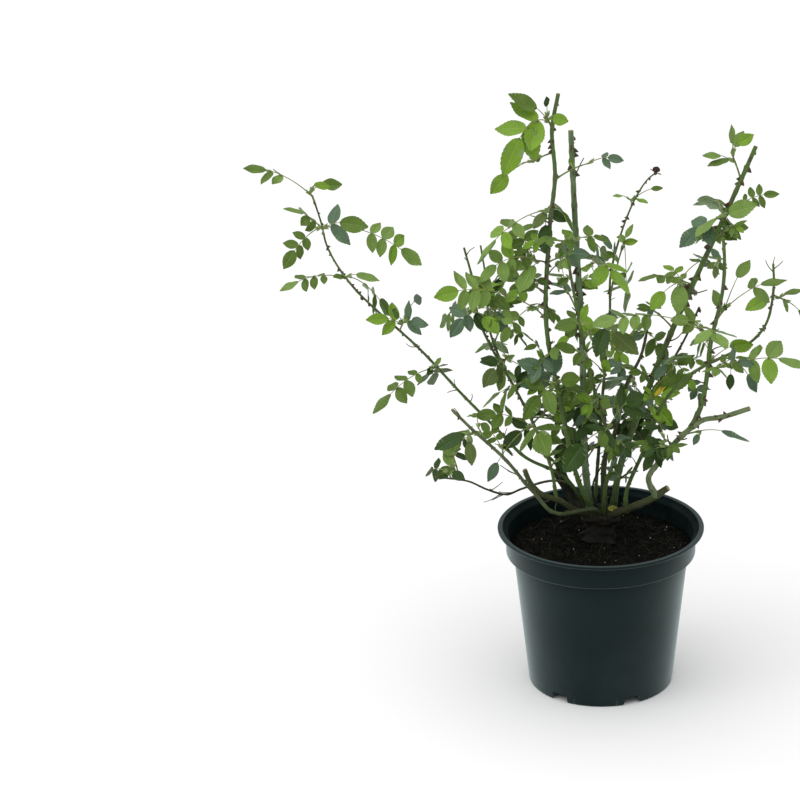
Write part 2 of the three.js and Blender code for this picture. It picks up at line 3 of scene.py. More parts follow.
import bpy
import numpy as np
from bpy.props import FloatProperty, FloatVectorProperty, IntProperty, PointerProperty
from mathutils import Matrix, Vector


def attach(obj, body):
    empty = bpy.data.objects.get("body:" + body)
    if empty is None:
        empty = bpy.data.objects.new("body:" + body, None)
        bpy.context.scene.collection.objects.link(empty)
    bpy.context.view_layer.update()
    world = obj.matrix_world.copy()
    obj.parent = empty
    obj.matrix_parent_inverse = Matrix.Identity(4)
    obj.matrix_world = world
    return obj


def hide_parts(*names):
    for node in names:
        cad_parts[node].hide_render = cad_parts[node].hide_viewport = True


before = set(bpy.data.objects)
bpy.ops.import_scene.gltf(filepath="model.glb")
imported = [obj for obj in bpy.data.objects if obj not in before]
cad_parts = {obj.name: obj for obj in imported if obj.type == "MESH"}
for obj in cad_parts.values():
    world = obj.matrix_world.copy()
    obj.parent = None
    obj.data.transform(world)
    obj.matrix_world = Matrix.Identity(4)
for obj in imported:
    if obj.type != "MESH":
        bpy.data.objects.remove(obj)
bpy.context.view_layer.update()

bl_info = {
    "name": "Potted rose bush",
    "version": (1, 0, 0),
    "blender": (4, 5, 0),
    "location": "View3D > Sidebar > Rose",
    "description": "Grows a young pruned rose in its nursery pot round the packed frame",
    "category": "Add Mesh",
}

MM = 0.001
UP = np.array([0.0, 0.0, 1.0])

# The plant's plan, in millimetres

# Every cane: girth at foot and tip, kind of bark, kind of tip, and the points its centre line passes.
# A foot given as (cane, share) starts on that cane, at that share of its length.
CANES = {
    "cane_tall_left": dict(
        girth=(5.8, 4.4), bark="green", tip="cut",
        points=[(-8, 14, 203), (-26, 6, 248), (-46, -4, 351), (-61, -14, 447), (-56, -22, 569),
                (-50, -26, 627), (-53, -28, 681), (-46, -30, 723)]),
    "cane_thick_left": dict(
        girth=(8.4, 6), bark="grey", tip="cut",
        points=[(-12, 26, 200), (-18, 24, 263), (-21, 32, 411), (-28, 40, 542), (-33, 44, 658)]),
    "cane_front": dict(
        girth=(4.8, 3), bark="green", tip="taper",
        points=[(3, 9, 203), (6, -4, 245), (15, -14, 285), (4, -22, 333), (-10, -30, 386),
                (-23, -42, 457), (-39, -60, 561)]),
    "cane_bare_middle": dict(
        girth=(7.4, 2.6), bark="old", tip="taper",
        points=[(4, 35, 200), (5, 42, 259), (16, 46, 288), (30, 56, 346), (47, 62, 381), (57, 68, 426)]),
    "cane_leaning_right": dict(
        girth=(8, 5), bark="green", tip="cut",
        points=[(14, 24, 200), (22, 31, 251), (49, 44, 329), (86, 60, 421), (144, 82, 548), (177, 96, 622)]),
    "cane_bud": dict(
        girth=(4.4, 1.8), bark="green", tip="bud",
        points=[(-7, 36, 203), (-3, 60, 250), (2, 92, 313), (11, 112, 417), (12, 118, 460),
                (25, 128, 510), (41, 134, 549), (55, 138, 570), (64, 140, 577)]),
    "branch_low_right": dict(
        girth=(9.4, 7.4), bark="old", tip="cut",
        points=[(8, 12, 200), (28, 2, 212), (57, -12, 231), (77, -18, 248)]),
    "cane_low_left": dict(
        girth=(4.8, 3.4), bark="dull", tip="cut",
        points=[(-1, 6, 206), (-8, -5, 216), (-20, -14, 218), (-36, -24, 219), (-47, -33, 222),
                (-58, -40, 229), (-65, -45, 239), (-74, -49, 253), (-84, -54, 267), (-107, -62, 301),
                (-146, -80, 348), (-166, -90, 374)]),
    "branch_old_left": dict(
        girth=(7, 5.6), bark="old", tip="cut",
        points=[(-14, 12, 200), (-32, 0, 214), (-47, -6, 227), (-61, -12, 234.5), (-73, -17, 244),
                (-81, -20, 256), (-87, -22, 272)]),
    "cane_left_arch": dict(
        girth=(4.2, 2), bark="green", tip="taper",
        points=[(-14.5, 33, 199), (-42, 31, 241), (-88, 32, 266), (-119, 38, 297), (-158, 46, 336),
                (-208, 54, 391), (-285, 60, 467), (-312, 58, 514), (-319, 54, 548), (-327, 48, 581)]),
    "cane_right": dict(
        girth=(4.8, 2.6), foot=("branch_low_right", 0.3), bark="green", tip="taper",
        points=[(30, 0, 236), (51, -4, 292), (72, -10, 351), (105, -20, 391),
                (169, -30, 432), (186, -33, 456), (193, -36, 498), (192, -38, 527)]),
    "branch_cut_right": dict(
        girth=(6.6, 5.6), foot=("branch_low_right", 0.8), bark="pale", tip="cut",
        points=[(55, -24, 263), (70, -34, 291), (90, -46, 322), (115, -60, 349), (136, -68, 356),
                (166, -80, 371)]),
    "branch_dark_right": dict(
        girth=(3.2, 2.4), foot=("cane_leaning_right", 0.29), bark="old", tip="cut",
        points=[(74, 60, 359), (97, 70, 397), (114, 78, 434)]),
    "cane_up_right": dict(
        girth=(6, 3.4), foot=("branch_cut_right", 0.62), bark="green", tip="taper",
        points=[(114, -62, 371), (119, -66, 405), (122, -72, 444), (134, -84, 509), (136, -90, 548),
                (134, -94, 577)]),
    "cane_left_upright": dict(
        girth=(3.8, 2.6), foot=("branch_old_left", 0.46), bark="green", tip="cut",
        points=[(-57, -6, 268), (-70, 4, 302), (-95, 20, 350), (-124, 36, 398), (-140, 46, 433),
                (-146, 56, 474), (-156, 62, 513)]),
    "cane_left_twin": dict(
        girth=(3, 2.2), foot=("cane_left_upright", 0.53), bark="green", tip="cut",
        points=[(-128, 44, 423), (-130, 52, 469), (-137, 64, 515)]),
    "twig_low_left": dict(
        girth=(3.2, 2), bark="old", tip="cut",
        points=[(-12, 38, 200), (-38, 45, 227), (-58, 50, 228), (-92, 50, 218),
                (-110, 47, 212), (-132, 42, 220), (-155, 37, 233), (-192, 28, 242)]),
}

# Every leafy shoot: its cane, the share of the cane's length where it meets it, its stem as
# (turn, rise, length), the colour of each leaf from the stem's foot up, the last one going on, and its
# leaves as (turn, rise, reach, pairs of side leaflets, leaflet length) and, where the stalk isn't bowed
# as usual, its lift.
# A turn of 0 points along +X and 90 towards the back, and a rise of 90 points straight up.
SHOOTS = {
    "leaves_top_left": ("cane_tall_left", 0.92, (180, 70, 15), "bright mid bright deep",
        [(-145, -40, 80, 2, 46, 0.6), (-175, 35, 55, 0, 36), (-40, 5, 30, 0, 24), (-95, 70, 30, 0, 15)]),
    "leaves_thin_left": ("cane_tall_left", 0.87, (140, -30, 35), "blue bright mid",
        [(125, -35, 15, 0, 15), (-170, -35, 65, 0, 28), (160, -25, 30, 0, 14)]),
    "leaves_thin_right": ("cane_tall_left", 0.81, (40, 10, 50), "mid blue",
        [(115, 30, 15, 0, 24), (0, 5, 40, 1, 18)]),
    "leaves_high_left": ("cane_tall_left", 0.73, (110, 0, 20), "olive deep light olive mid",
        [(-125, -30, 30, 0, 28), (0, -35, 25, 0, 28), (-155, -30, 100, 1, 34), (-90, -45, 55, 0, 34),
         (65, -30, 85, 1, 28)]),
    "leaves_hanging_left": ("cane_tall_left", 0.62, (-140, 20, 20), "bright light mid",
        [(-135, -40, 45, 0, 36), (-165, -15, 70, 2, 26, 0.4), (120, 20, 80, 1, 30)]),
    "leaves_long_left": ("cane_tall_left", 0.49, (-145, 45, 30), "light bright mid mid",
        [(-155, 15, 130, 3, 30), (-95, 10, 25, 0, 28), (-150, -40, 55, 1, 20), (58, -35, 90, 1, 28)]),
    "leaves_low_left_inner": ("cane_tall_left", 0.33, (-90, 25, 35), "blue deep mid mid",
        [(-165, 35, 55, 1, 40), (-40, 20, 40, 0, 32), (-140, -35, 60, 1, 34), (155, -25, 105, 1, 30)]),
    "leaves_upper_middle": ("cane_thick_left", 0.71, (-95, 25, 35), "bright bright mid",
        [(-125, -15, 35, 0, 31), (125, 15, 25, 0, 20), (25, -10, 45, 1, 22), (65, -30, 105, 1, 28)]),
    "leaves_middle_right": ("cane_thick_left", 0.64, (-50, 30, 30), "bright light deep mid",
        [(-45, -15, 70, 1, 36, 0.5), (-95, 5, 30, 0, 24), (-75, -25, 30, 0, 14), (85, -20, 90, 1, 26)]),
    "leaves_inner_twig": ("cane_thick_left", 0.51, (115, 30, 65), "blue blue mid",
        [(140, 15, 35, 1, 24), (100, 20, 50, 0, 24), (90, -25, 75, 0, 28)]),
    "leaves_low_middle": ("cane_thick_left", 0.24, (80, 5, 50), "deep",
        [(120, 10, 70, 1, 32), (0, 15, 20, 1, 30), (90, -35, 125, 1, 30), (-155, -20, 50, 1, 30)]),
    "leaves_front_upper": ("cane_front", 0.7, (-90, 30, 35), "mid bright olive",
        [(-145, 5, 35, 0, 31), (0, 70, 25, 0, 20), (-35, -15, 80, 1, 38)]),
    "leaves_front_middle": ("cane_front", 0.47, (-60, 50, 40), "blue bright mid",
        [(-55, 20, 45, 0, 44), (-75, 55, 35, 0, 24), (-160, 35, 75, 1, 26)]),
    "leaves_front_low": ("cane_front", 0.32, (-90, 30, 45), "deep",
        [(-130, -20, 85, 0, 42), (-45, 45, 80, 1, 32), (-100, -5, 50, 1, 28)]),
    "leaves_bud_top": ("cane_bud", 0.885, (95, 0, 20), "mid light",
        [(10, 20, 40, 0, 14), (-155, 20, 25, 0, 13), (-35, 0, 25, 0, 17)]),
    "leaves_bud_fork": ("cane_bud", 0.61, (-30, 75, 75), "blue light mid",
        [(180, 60, 40, 1, 22), (35, 60, 35, 1, 18), (87, -55, 145, 1, 34)]),
    "leaves_middle_top": ("cane_bare_middle", 0.89, (85, -5, 30), "mid blue mid",
        [(120, -25, 50, 1, 24), (180, -30, 20, 0, 22), (0, -60, 45, 1, 26)]),
    "leaves_middle_low": ("cane_bare_middle", 0.62, (70, 0, 30), "deep blue deep",
        [(70, -15, 75, 1, 32), (135, -25, 50, 1, 30), (85, -40, 130, 1, 38), (0, -85, 65, 1, 30)]),
    "leaves_top_right": ("cane_leaning_right", 0.91, (180, 70, 35), "light mid light light bright",
        [(-170, 15, 40, 0, 22), (-155, -5, 35, 0, 28), (180, 85, 40, 0, 23), (60, 35, 35, 0, 25),
         (30, 30, 35, 0, 23)]),
    "leaves_right_high": ("cane_leaning_right", 0.8, (-95, 30, 16), "blue mid light light mid",
        [(-160, -30, 60, 1, 32), (10, 20, 70, 2, 18), (-140, -15, 45, 0, 36), (-20, 25, 45, 0, 44),
         (94, -15, 135, 1, 32)]),
    "leaves_right_middle": ("cane_leaning_right", 0.62, (-150, 25, 20), "mid bright light mid",
        [(-170, 5, 55, 2, 23), (-140, -25, 55, 0, 27), (-100, -50, 40, 0, 34), (55, 0, 90, 1, 28)]),
    "leaves_right_inner": ("cane_leaning_right", 0.27, (-70, 40, 30), "mid deep bright yellow",
        [(-10, 35, 70, 0, 40), (10, 45, 80, 0, 20), (-55, -10, 55, 0, 32), (-30, 25, 50, 1, 26)]),
    "leaves_right_low": ("cane_leaning_right", 0.15, (70, 5, 24), "deep blue deep",
        [(105, -20, 100, 1, 30), (-40, 0, 50, 0, 30), (70, -25, 115, 1, 32), (-40, 70, 45, 1, 34)]),
    "leaves_edge_top": ("cane_right", 0.9, (40, -30, 20), "mid light mid",
        [(10, 15, 30, 0, 24), (-155, -10, 45, 0, 30), (35, -60, 20, 0, 20), (0, -45, 40, 0, 20)]),
    "leaves_edge_low": ("cane_right", 0.63, (-60, 5, 35), "deep blue light",
        [(-95, -55, 35, 0, 18), (0, -55, 45, 0, 24), (-15, 0, 85, 2, 40)]),
    "leaves_round": ("cane_right", 0.56, (55, 0, 25), "bright deep mid",
        [(-35, 30, 70, 0, 34), (140, 70, 40, 0, 16), (105, -5, 85, 1, 28)]),
    "leaves_up_right_top": ("cane_up_right", 0.86, (-150, 40, 12), "blue olive",
        [(180, 60, 20, 0, 14), (-110, -60, 20, 1, 14)]),
    "leaves_up_right_long": ("cane_up_right", 0.47, (-145, 50, 25), "mid light",
        [(-160, 10, 135, 3, 29), (-70, 0, 75, 1, 32)]),
    "leaves_up_right_out": ("cane_up_right", 0.57, (40, 40, 20), "light olive light mid",
        [(180, 70, 30, 0, 22), (-70, 45, 15, 0, 24), (0, 65, 65, 0, 25), (15, 20, 75, 1, 30)]),
    "leaves_low_right": ("branch_cut_right", 0.53, (-25, 20, 25), "blue",
        [(-15, -5, 65, 0, 34), (-120, -30, 20, 0, 15)]),
    "leaves_low_left": ("cane_low_left", 0.83, (-120, 15, 20), "mid deep olive",
        [(180, -5, 20, 0, 20), (-155, -15, 45, 0, 42), (-75, -60, 35, 0, 26)]),
    "leaves_low_round": ("twig_low_left", 0.91, (-120, 60, 12), "deep",
        [(-125, 0, 20, 0, 18), (-40, 0, 25, 0, 20), (135, -20, 45, 1, 20)]),
    "leaves_arch_tip": ("cane_left_arch", 0.985, (-145, 65, 15), "mid bright mid",
        [(-170, 25, 85, 2, 26), (-25, 25, 30, 0, 22, 0.9), (25, 5, 40, 0, 25)]),
    "leaves_arch_upper": ("cane_left_arch", 0.9, (-95, 45, 20), "mid blue light mid",
        [(-160, 35, 55, 2, 26), (-10, 5, 55, 1, 34), (10, -25, 125, 3, 30), (-150, -40, 65, 1, 24)]),
    "leaves_arch_middle": ("cane_left_arch", 0.77, (-105, 40, 20), "mid blue light mid",
        [(-160, -5, 80, 2, 24), (-135, 15, 20, 0, 24), (-5, -5, 40, 0, 28), (40, -45, 90, 1, 28)]),
    "leaves_arch_low": ("cane_left_arch", 0.61, (-60, 50, 20), "bright mid blue",
        [(-160, 15, 45, 1, 27), (-120, 45, 35, 0, 22), (-30, 5, 35, 1, 28), (75, 5, 65, 0, 26)]),
    "leaves_arch_droop": ("cane_left_arch", 0.48, (-125, 30, 18), "mid bright deep",
        [(-155, -30, 90, 2, 30), (0, 55, 15, 0, 16), (-115, -20, 15, 0, 16), (92, -35, 90, 1, 28)]),
    "leaves_upright_middle": ("cane_left_upright", 0.75, (-115, 30, 25), "blue deep bright light mid",
        [(-155, -45, 40, 1, 26), (-50, -30, 35, 0, 28), (-45, -20, 50, 0, 29), (-20, -5, 60, 0, 22),
         (115, -30, 100, 1, 28)]),
    "leaves_upright_low": ("cane_left_upright", 0.53, (-80, 45, 30), "blue light olive olive mid",
        [(-160, 5, 30, 0, 20), (-20, 30, 15, 0, 18), (-130, -30, 45, 1, 26), (-25, -35, 60, 1, 24),
         (103, -15, 110, 1, 28)]),
    "leaves_upright_foot": ("cane_left_upright", 0.26, (-105, 35, 40), "mid deep blue mid",
        [(-170, 15, 70, 1, 24), (-145, -25, 45, 1, 30), (-135, -35, 85, 0, 24), (-75, -5, 75, 1, 40)]),
}

# How every leaf is laid out, as in the frame's own source. Angles in degrees.
LEAF = dict(
    lift=0.26, pair_step=0.5, first_pair=0.3, lowest_pair=0.16, root_length=2.2 * MM,
    swing=(60, 78), jitter=4, droop=(4, 28), roll=38, pair_shrink=0.08, side_size=(0.8, 0.95), curl=0.08,
    light=(-90, 50),
)
# The smaller pair that a leaf's bare stalk carries here, and the lowest share of the stalk where it stands
SPARE_PAIR = dict(lowest=0.3, jitter=6, size=0.84)
# Stems and leaf stalks. A knot and a foot are how much it swells there, and over what share of its length.
STEM = dict(girth=(2.2, 1.5), lift=0.1, inset=0.2, leafy=(0.55, 0.97), knot=(0.28, 0.04), foot=(0.6, 0.07))
STALK = dict(girth=(1.44, 0.84), foot=(0.7, 0.05))
# The narrow wings at a stalk's foot, in metres and as shares of their own length
STIPULE = dict(aside=0.0003, spread=0.24, shortest=0.007, longer=0.003, breadth=0.3, fold=-0.1, curl=0.05)
# How much leaflets differ: the least share of the usual, and what chance adds to it
VARIETY = dict(breadth=(0.86, 0.2), fold=(0.4, 1.6), curl=(0.02, 0.16), twist=0.7)

# Short leafy spurs: the stretch of each cane that they leave, and a seed for each spur
SPURS = {
    "cane_left_twin": (0.2, 0.95, (7, 32, 33, 174, 317, 387)),
    "cane_thick_left": (0.04, 0.75, (65, 186, 203, 215, 282, 312, 330, 404)),
    "cane_front": (0.1, 0.8, (92, 99, 123, 193, 347)),
    "branch_cut_right": (0.2, 0.8, (208, 293, 447)),
    "cane_leaning_right": (0.08, 0.75, (124, 160, 232, 257, 342, 373)),
    "branch_dark_right": (0.2, 0.95, (27, 39, 66, 401)),
    "cane_left_upright": (0.1, 0.8, (12, 78, 278)),
    "twig_low_left": (0.3, 0.9, (178,)),
    "cane_tall_left": (0.08, 0.72, (26, 59, 84, 143, 332, 423, 430)),
    "cane_up_right": (0.1, 0.85, (165, 205)),
    "cane_left_arch": (0.1, 0.6, (449,)),
    "cane_low_left": (0.2, 0.8, (107, 124)),
    "cane_bare_middle": (0.15, 0.95, (462,)),
    "cane_right": (0.1, 0.9, (8, 218, 297, 406)),
    "cane_bud": (0.15, 0.8, (301,)),
}
SPUR = dict(
    rise=(-15, 65), length=(8, 30), aside=(55, -60, 5), sway=(0.5, 1.2), leaf_rise=(-50, 40), reach=(20, 46),
    size=(13, 25), third_leaf=0.5, second_pair=0.4,
)

# Bare twigs that the photograph shows at the canes' ends: cane, share, turn, rise, length
BARE = [
    ("cane_right", 0.975, 150, 50, 16), ("cane_right", 0.985, 10, 40, 14), ("cane_right", 0.99, 60, 75, 12),
    ("cane_left_upright", 0.97, 10, 45, 14), ("cane_left_upright", 0.93, 170, 60, 12),
    ("cane_left_twin", 0.9, 20, 55, 13), ("cane_right", 0.62, 0, 25, 16),
    ("cane_thick_left", 0.86, 20, 68, 34), ("cane_tall_left", 0.71, 170, 20, 24),
    ("cane_low_left", 0.93, 165, 55, 16), ("twig_low_left", 0.52, -150, 15, 20),
    ("twig_low_left", 0.66, 30, 25, 18),
]

# The pot's profile and the notches under its foot
POT = dict(
    floor=2.6, wall=2.4, waist_radius=101.3, waist_height=159, step=1.8, band_radius=110, band_foot=162.5,
    band_top=189, rim_inner=113.5, rim_thickness=2.6, ledge_inner=57, ledge_outer=78, ledge_height=11.4,
)
NOTCH = dict(
    count=6, width=20, height=9.8, corner=2, flare=4, inner=60, first_turn=-64.5, slit=8, slit_aside=9,
    slit_half=0.5,
)
# Where the foot's skin has points: in from a notch's side, and to both sides of a slit's middle
SIDE_STOPS = (-4, -3, -2.2, -1.5, -0.9, -0.4, -0.1, 0.1, 0.4, 0.9, 1.5, 2.2)
SLIT_STOPS = (-0.6, -0.4, 0.4, 0.6)

# The compost, the loose fibres on it, and the crown with its neck, stump and dry twig
SOIL = dict(
    edge_radius=107, edge_height=166.5, shoulder_radius=102, shoulder_height=168, crest=172,
    skirt=((106.5, 164.6), (97, 161), (0.8, 161)),
    waves=((2.6, 22, 11, 60, 5), (0.9, 30, 3.2, 8, 6)),  # height, number, shortest, longest, seed
    calm=0.6, calm_from=96, calm_to=108,
)
FIBRES = dict(reach=96, half_length=(3, 13), bow=(-4, 4), above=0.3, lift=1.6, radius=(0.12, 0.38))
CROWN = dict(centre=(0, 21, 197), radii=(20, 19, 12))
NECK = dict(girth=(36, 26), points=[(-2, 14, 169), (-1, 17, 182), (0, 20, 196)])
STUMP = dict(girth=(16, 14), points=[(-12, 36, 192), (-28, 50, 201), (-44, 60, 226), (-50, 63, 238)])
DRY_TWIG = dict(girth=(3, 1.8), points=[(-2, 16, 200), (-9, 2, 232), (-8, -4, 250), (0, -10, 270)])

# The canes' nodes and what stands on them. Lengths are metres, girths millimetres, and stretches and
# last shares of a cane's length.
NODES = dict(first=0.018, short_of_tip=0.006, spacing=0.03, sway=0.006, swell=0.13, width=0.0032)
PRICKLES = dict(
    spacing={"green": 1.0, "grey": 1.0, "dull": 0.8, "pale": 1.5, "old": 1.7}, stretch=(0.05, 0.985),
    sunk=0.86, stout_girth=6, slender=0.5, low=(0.24, 0.42), low_size=0.4, size=(0.5, 1.0),
)
TWIGS = dict(
    seed=31, spacing=0.055, stretch=(0.06, 0.6), forward=(0.3, 1.1), length=(0.007, 0.026), bow=(0.04, 0.14),
    cane_share=0.36, girth=(1.4, 2.1), thinned=(0.8, 1.0), taper=0.35, foot=(0.7, 0.08),
)
# How much a cane's foot widens, and over what length in metres, on another cane and on the crown
CANE_FEET = {"cane": (0.5, 0.007), "crown": (0.25, 0.01)}
# The slow unevenness of the canes' bark
BARK_LUMPS = dict(strength=0.045, low=0.005, high=0.03, waves=14, spread=0.006)
BUDS = dict(above_node=0.0012, last=0.98, turn=144, sunk=0.8, lean=0.8, size=0.0019, size_by_radius=0.16)

# How an end closes: steps past its last ring in metres, and the share of the radius left at each
ENDS = {
    "cut": ((0.0004, 0.00055, 0.00065, 0.0007), (0.96, 0.84, 0.5, 0.22)),
    "round": ((0.0006, 0.0011, 0.0014, 0.0015), (0.9, 0.7, 0.45, 0.15)),
    "sawn": ((0.0004, 0.0006, 0.0007), (0.93, 0.6, 0.3)),
}

# The withered bud's outline, as (height over the cane's tip, radius), in metres
BUD_OUTLINE = (
    (-0.0026, 0.0008), (-0.002, 0.0016), (-0.0008, 0.0022), (0.0006, 0.0021), (0.0014, 0.0017),
    (0.002, 0.0024), (0.0034, 0.004), (0.005, 0.0042), (0.0064, 0.003), (0.0074, 0.0016), (0.0078, 0.0004),
)
# Its sepals: how far each leans out, how far it points up, and its length
SEPALS = ((0.9, 0.6, 0.006), (0.5, 1, 0.005), (1.1, 0.1, 0.0065), (0.4, 1, 0.005), (0.8, 0.5, 0.0055))

# A leaflet's outline: where it is widest, how full it is on each side of that, its least width, how far
# its teeth stand out, and the waves along its margin
BLADE = dict(
    widest=0.46, foot=(2.2, 0.62), tip=(1.9, 1.05), least=(0.05, 0.015), toothed=(0.12, 0.97), tooth=1.02,
    gap=0.965, tooth_lean=0.35, waves=1.6, wave_turn=1.7, wave_height=0.018, fold_power=0.6,
)
# A prickle's foot along and across its cane and its hook, as shares of its height, and the power of
# (1 - u) that its rings shrink by
THORN = dict(along=0.62, across=0.24, slim=0.75, hook=0.38, tip_hook=0.4, last_ring=0.97)

# Heights in metres from which and up to which a painted shade darkens the bark of the canes' feet
SHADED_FEET = (0.195, 0.24)

# Where the middle of the pot's rim lies in the photograph, and the photograph's width, in pixels
RIM_IN_PHOTO = (600.6, 525.4)
PHOTO_WIDTH = 800


# Curves and the seeded rule

def unit(vectors):
    """Vectors scaled to length one."""
    return vectors / np.maximum(np.linalg.norm(vectors, axis=-1, keepdims=True), 1e-12)


def mix(low, high, share):
    """The value that lies that share of the way from low to high."""
    return low + (high - low) * share


def ease(low, high, values):
    """0 below low, 1 above high, and the smooth step 3x^2 - 2x^3 between them."""
    x = np.clip((values - low) / (high - low), 0.0, 1.0)
    return x * x * (3.0 - 2.0 * x)


def heading(turn, rise):
    """Unit vector at that turn round +Z and that rise above level, in degrees."""
    turn, rise = math.radians(turn), math.radians(rise)
    return np.array([math.cos(rise) * math.cos(turn), math.cos(rise) * math.sin(turn), math.sin(rise)])


def swung(vector, axis, angle):
    """A vector turned about a unit axis: v cos a + (k x v) sin a + k (k.v) (1 - cos a)."""
    turned = vector * math.cos(angle) + np.cross(axis, vector) * math.sin(angle)
    return turned + axis * np.dot(axis, vector) * (1.0 - math.cos(angle))


def seeded(seed):
    """A repeatable run of numbers from 0 to 1, the same run that the frame's source draws."""
    mask = 0xFFFFFFFF
    state = seed & mask

    def draw():
        nonlocal state
        state = (state + 0x6D2B79F5) & mask
        bits = ((state ^ (state >> 15)) * (1 | state)) & mask
        bits = ((bits + (((bits ^ (bits >> 7)) * (61 | bits)) & mask)) & mask) ^ bits
        return ((bits ^ (bits >> 14)) & mask) / 4294967296
    return draw


def name_rng(name, offset=0):
    """A random generator of its own for a piece's name."""
    return np.random.default_rng(sum(map(ord, name)) + offset)


class Line:
    """A centre line kept as close-set points and read back by share of its length."""

    def __init__(self, points):
        self.points = points
        steps = np.linalg.norm(np.diff(points, axis=0), axis=1)
        self.reach = np.concatenate([[0.0], np.cumsum(steps)])
        self.length = float(self.reach[-1])

    def at(self, share):
        want = np.asarray(share, float) * self.length
        return np.stack([np.interp(want, self.reach, self.points[:, k]) for k in range(3)], axis=-1)

    def way(self, share, step=0.002):
        share = np.asarray(share, float)
        return unit(self.at(np.minimum(share + step, 1.0)) - self.at(np.maximum(share - step, 0.0)))


def through(points):
    """A centripetal Catmull-Rom line: between two points, the cubic whose end slopes are set by the
    square roots of the distances to their neighbours. The ends are mirrored."""
    p = np.asarray(points, float)
    p = np.vstack([2 * p[0] - p[1], p, 2 * p[-1] - p[-2]])
    gap = np.sqrt(np.linalg.norm(np.diff(p, axis=0), axis=1))[:, None, None]
    a, b, c, d = (p[i:len(p) - 3 + i, None, :] for i in range(4))
    g0, g1, g2 = gap[:-2], gap[1:-1], gap[2:]
    slope_b = ((b - a) / g0 - (c - a) / (g0 + g1) + (c - b) / g1) * g1
    slope_c = ((c - b) / g1 - (d - b) / (g1 + g2) + (d - c) / g2) * g1
    u = np.linspace(0.0, 1.0, 48, endpoint=False)[None, :, None]
    dense = (b + u * slope_b + u**2 * (3 * (c - b) - 2 * slope_b - slope_c)
             + u**3 * (2 * (b - c) + slope_b + slope_c))
    return Line(np.vstack([dense.reshape(-1, 3), p[-2]]))


def bowed(start, middle, tip, share):
    """The point at that share of a quadratic curve from start to tip that leans towards middle."""
    return (1 - share)**2 * start + 2 * (1 - share) * share * middle + share**2 * tip


def arch(start, middle, tip):
    """That curve as a line."""
    return Line(bowed(start, middle, tip, np.linspace(0.0, 1.0, 121)[:, None]))


def cane_lines():
    """The centre line of every cane, in metres, from the table."""
    lines = {}
    for name, cane in CANES.items():
        points = [np.array(p, float) * MM for p in cane["points"]]
        if "foot" in cane:
            points.insert(0, lines[cane["foot"][0]].at(cane["foot"][1]))
        lines[name] = through(points)
    return lines


LINES = cane_lines()


def lay_out_leaf(start, row, chance, has_spare_pair):
    """The stalk and leaflets of one compound leaf.

    The stalk is an arch from start to reach. Leaflets leave it in pairs, set back from the last one by
    pair_step of a leaflet's length, in a plane that faces the light and is rolled about the stalk. A
    spare pair stands lower on a stalk with room for it. The draws come in the order roll, swing, and
    then jitter, droop and size of each side leaflet from the lowest pair up, with the spare pair last.
    """
    turn, rise, reach, pairs, size = row[:5]
    lift = row[5] if len(row) > 5 else LEAF["lift"]
    reach, size = reach * MM, size * MM
    tip = start + heading(turn, rise) * reach
    middle = (start + tip) / 2 + UP * lift * reach
    line = arch(start, middle, tip)

    def curve(share):
        return bowed(start, middle, tip, share)

    end = 1.0
    while end > LEAF["lowest_pair"] * (pairs + 1) and np.linalg.norm(curve(end) - tip) < size:
        end -= 0.01
    roll = math.radians(LEAF["roll"]) * (2 * chance() - 1)
    swing = mix(*LEAF["swing"], chance())
    leaflets = []

    def plane(share):
        along = unit((1 - share) * (middle - start) + share * (tip - middle))
        level = unit(np.cross(heading(*LEAF["light"]), along))
        return along, swung(np.cross(along, level), along, roll)

    def set_back(pair):
        return end - (LEAF["first_pair"] + LEAF["pair_step"] * pair) * size / line.length

    def add_pair(share, plane_share, jitter, scale):
        along, normal = plane(plane_share)
        for hand in (1, -1):
            sway = math.radians(swing + jitter * (2 * chance() - 1))
            droop = math.radians(mix(*LEAF["droop"], chance()))
            length = size * scale * mix(*LEAF["side_size"], chance())
            out = swung(along, normal, hand * sway) * math.cos(droop) - normal * math.sin(droop)
            leaflets.append((curve(share), out, normal, length))

    for pair in range(pairs - 1, -1, -1):
        share = max(set_back(pair), LEAF["lowest_pair"] * (pairs - pair))
        add_pair(share, share - LEAF["root_length"] / 2 / line.length, LEAF["jitter"],
                 1 - LEAF["pair_shrink"] * pair)
    share = set_back(pairs)
    if has_spare_pair and share > SPARE_PAIR["lowest"]:
        add_pair(share, share, SPARE_PAIR["jitter"], SPARE_PAIR["size"] - LEAF["pair_shrink"] * pairs)
    normal = plane(end)[1]
    reach_left = tip - curve(end)
    out = unit(unit(reach_left) + normal * LEAF["curl"])
    leaflets.append((curve(end), out, normal, float(np.linalg.norm(reach_left))))
    stalk = curve(np.linspace(0.0, end, 14)[:, None])
    return dict(stalk=stalk, leaflets=leaflets, foot_normal=plane(0.05)[1])


def grow_shoot(cane, share, stem, rows, chances):
    """One stem and its leaves. The stem leaves its cane at a share of the cane's length, towards
    (turn, rise), and its leaves stand evenly along its leafy stretch."""
    turn, rise, length = stem
    girth = mix(*CANES[cane]["girth"], share) * MM
    axis = LINES[cane].at(share)
    start = axis + heading(turn, rise) * STEM["inset"] * girth
    tip = axis + heading(turn, rise) * length * MM
    middle = (start + tip) / 2 + UP * STEM["lift"] * length * MM
    leaves = []
    for order, (row, chance) in enumerate(zip(rows, chances)):
        place = mix(*STEM["leafy"], order / (len(rows) - 1) if len(rows) > 1 else 1)
        leaves.append(lay_out_leaf(bowed(start, middle, tip, place), row, chance, row[3] in (1, 2)))
    return dict(line=arch(start, middle, tip), leaves=leaves)


def grow_shoots():
    """Every shoot of the table, by the seeded rule."""
    grown = {}
    for number, (name, (cane, share, stem, _, rows)) in enumerate(SHOOTS.items()):
        chances = [seeded(number * 100 + order) for order in range(len(rows))]
        grown[name] = grow_shoot(cane, share, stem, rows, chances)
    return grown


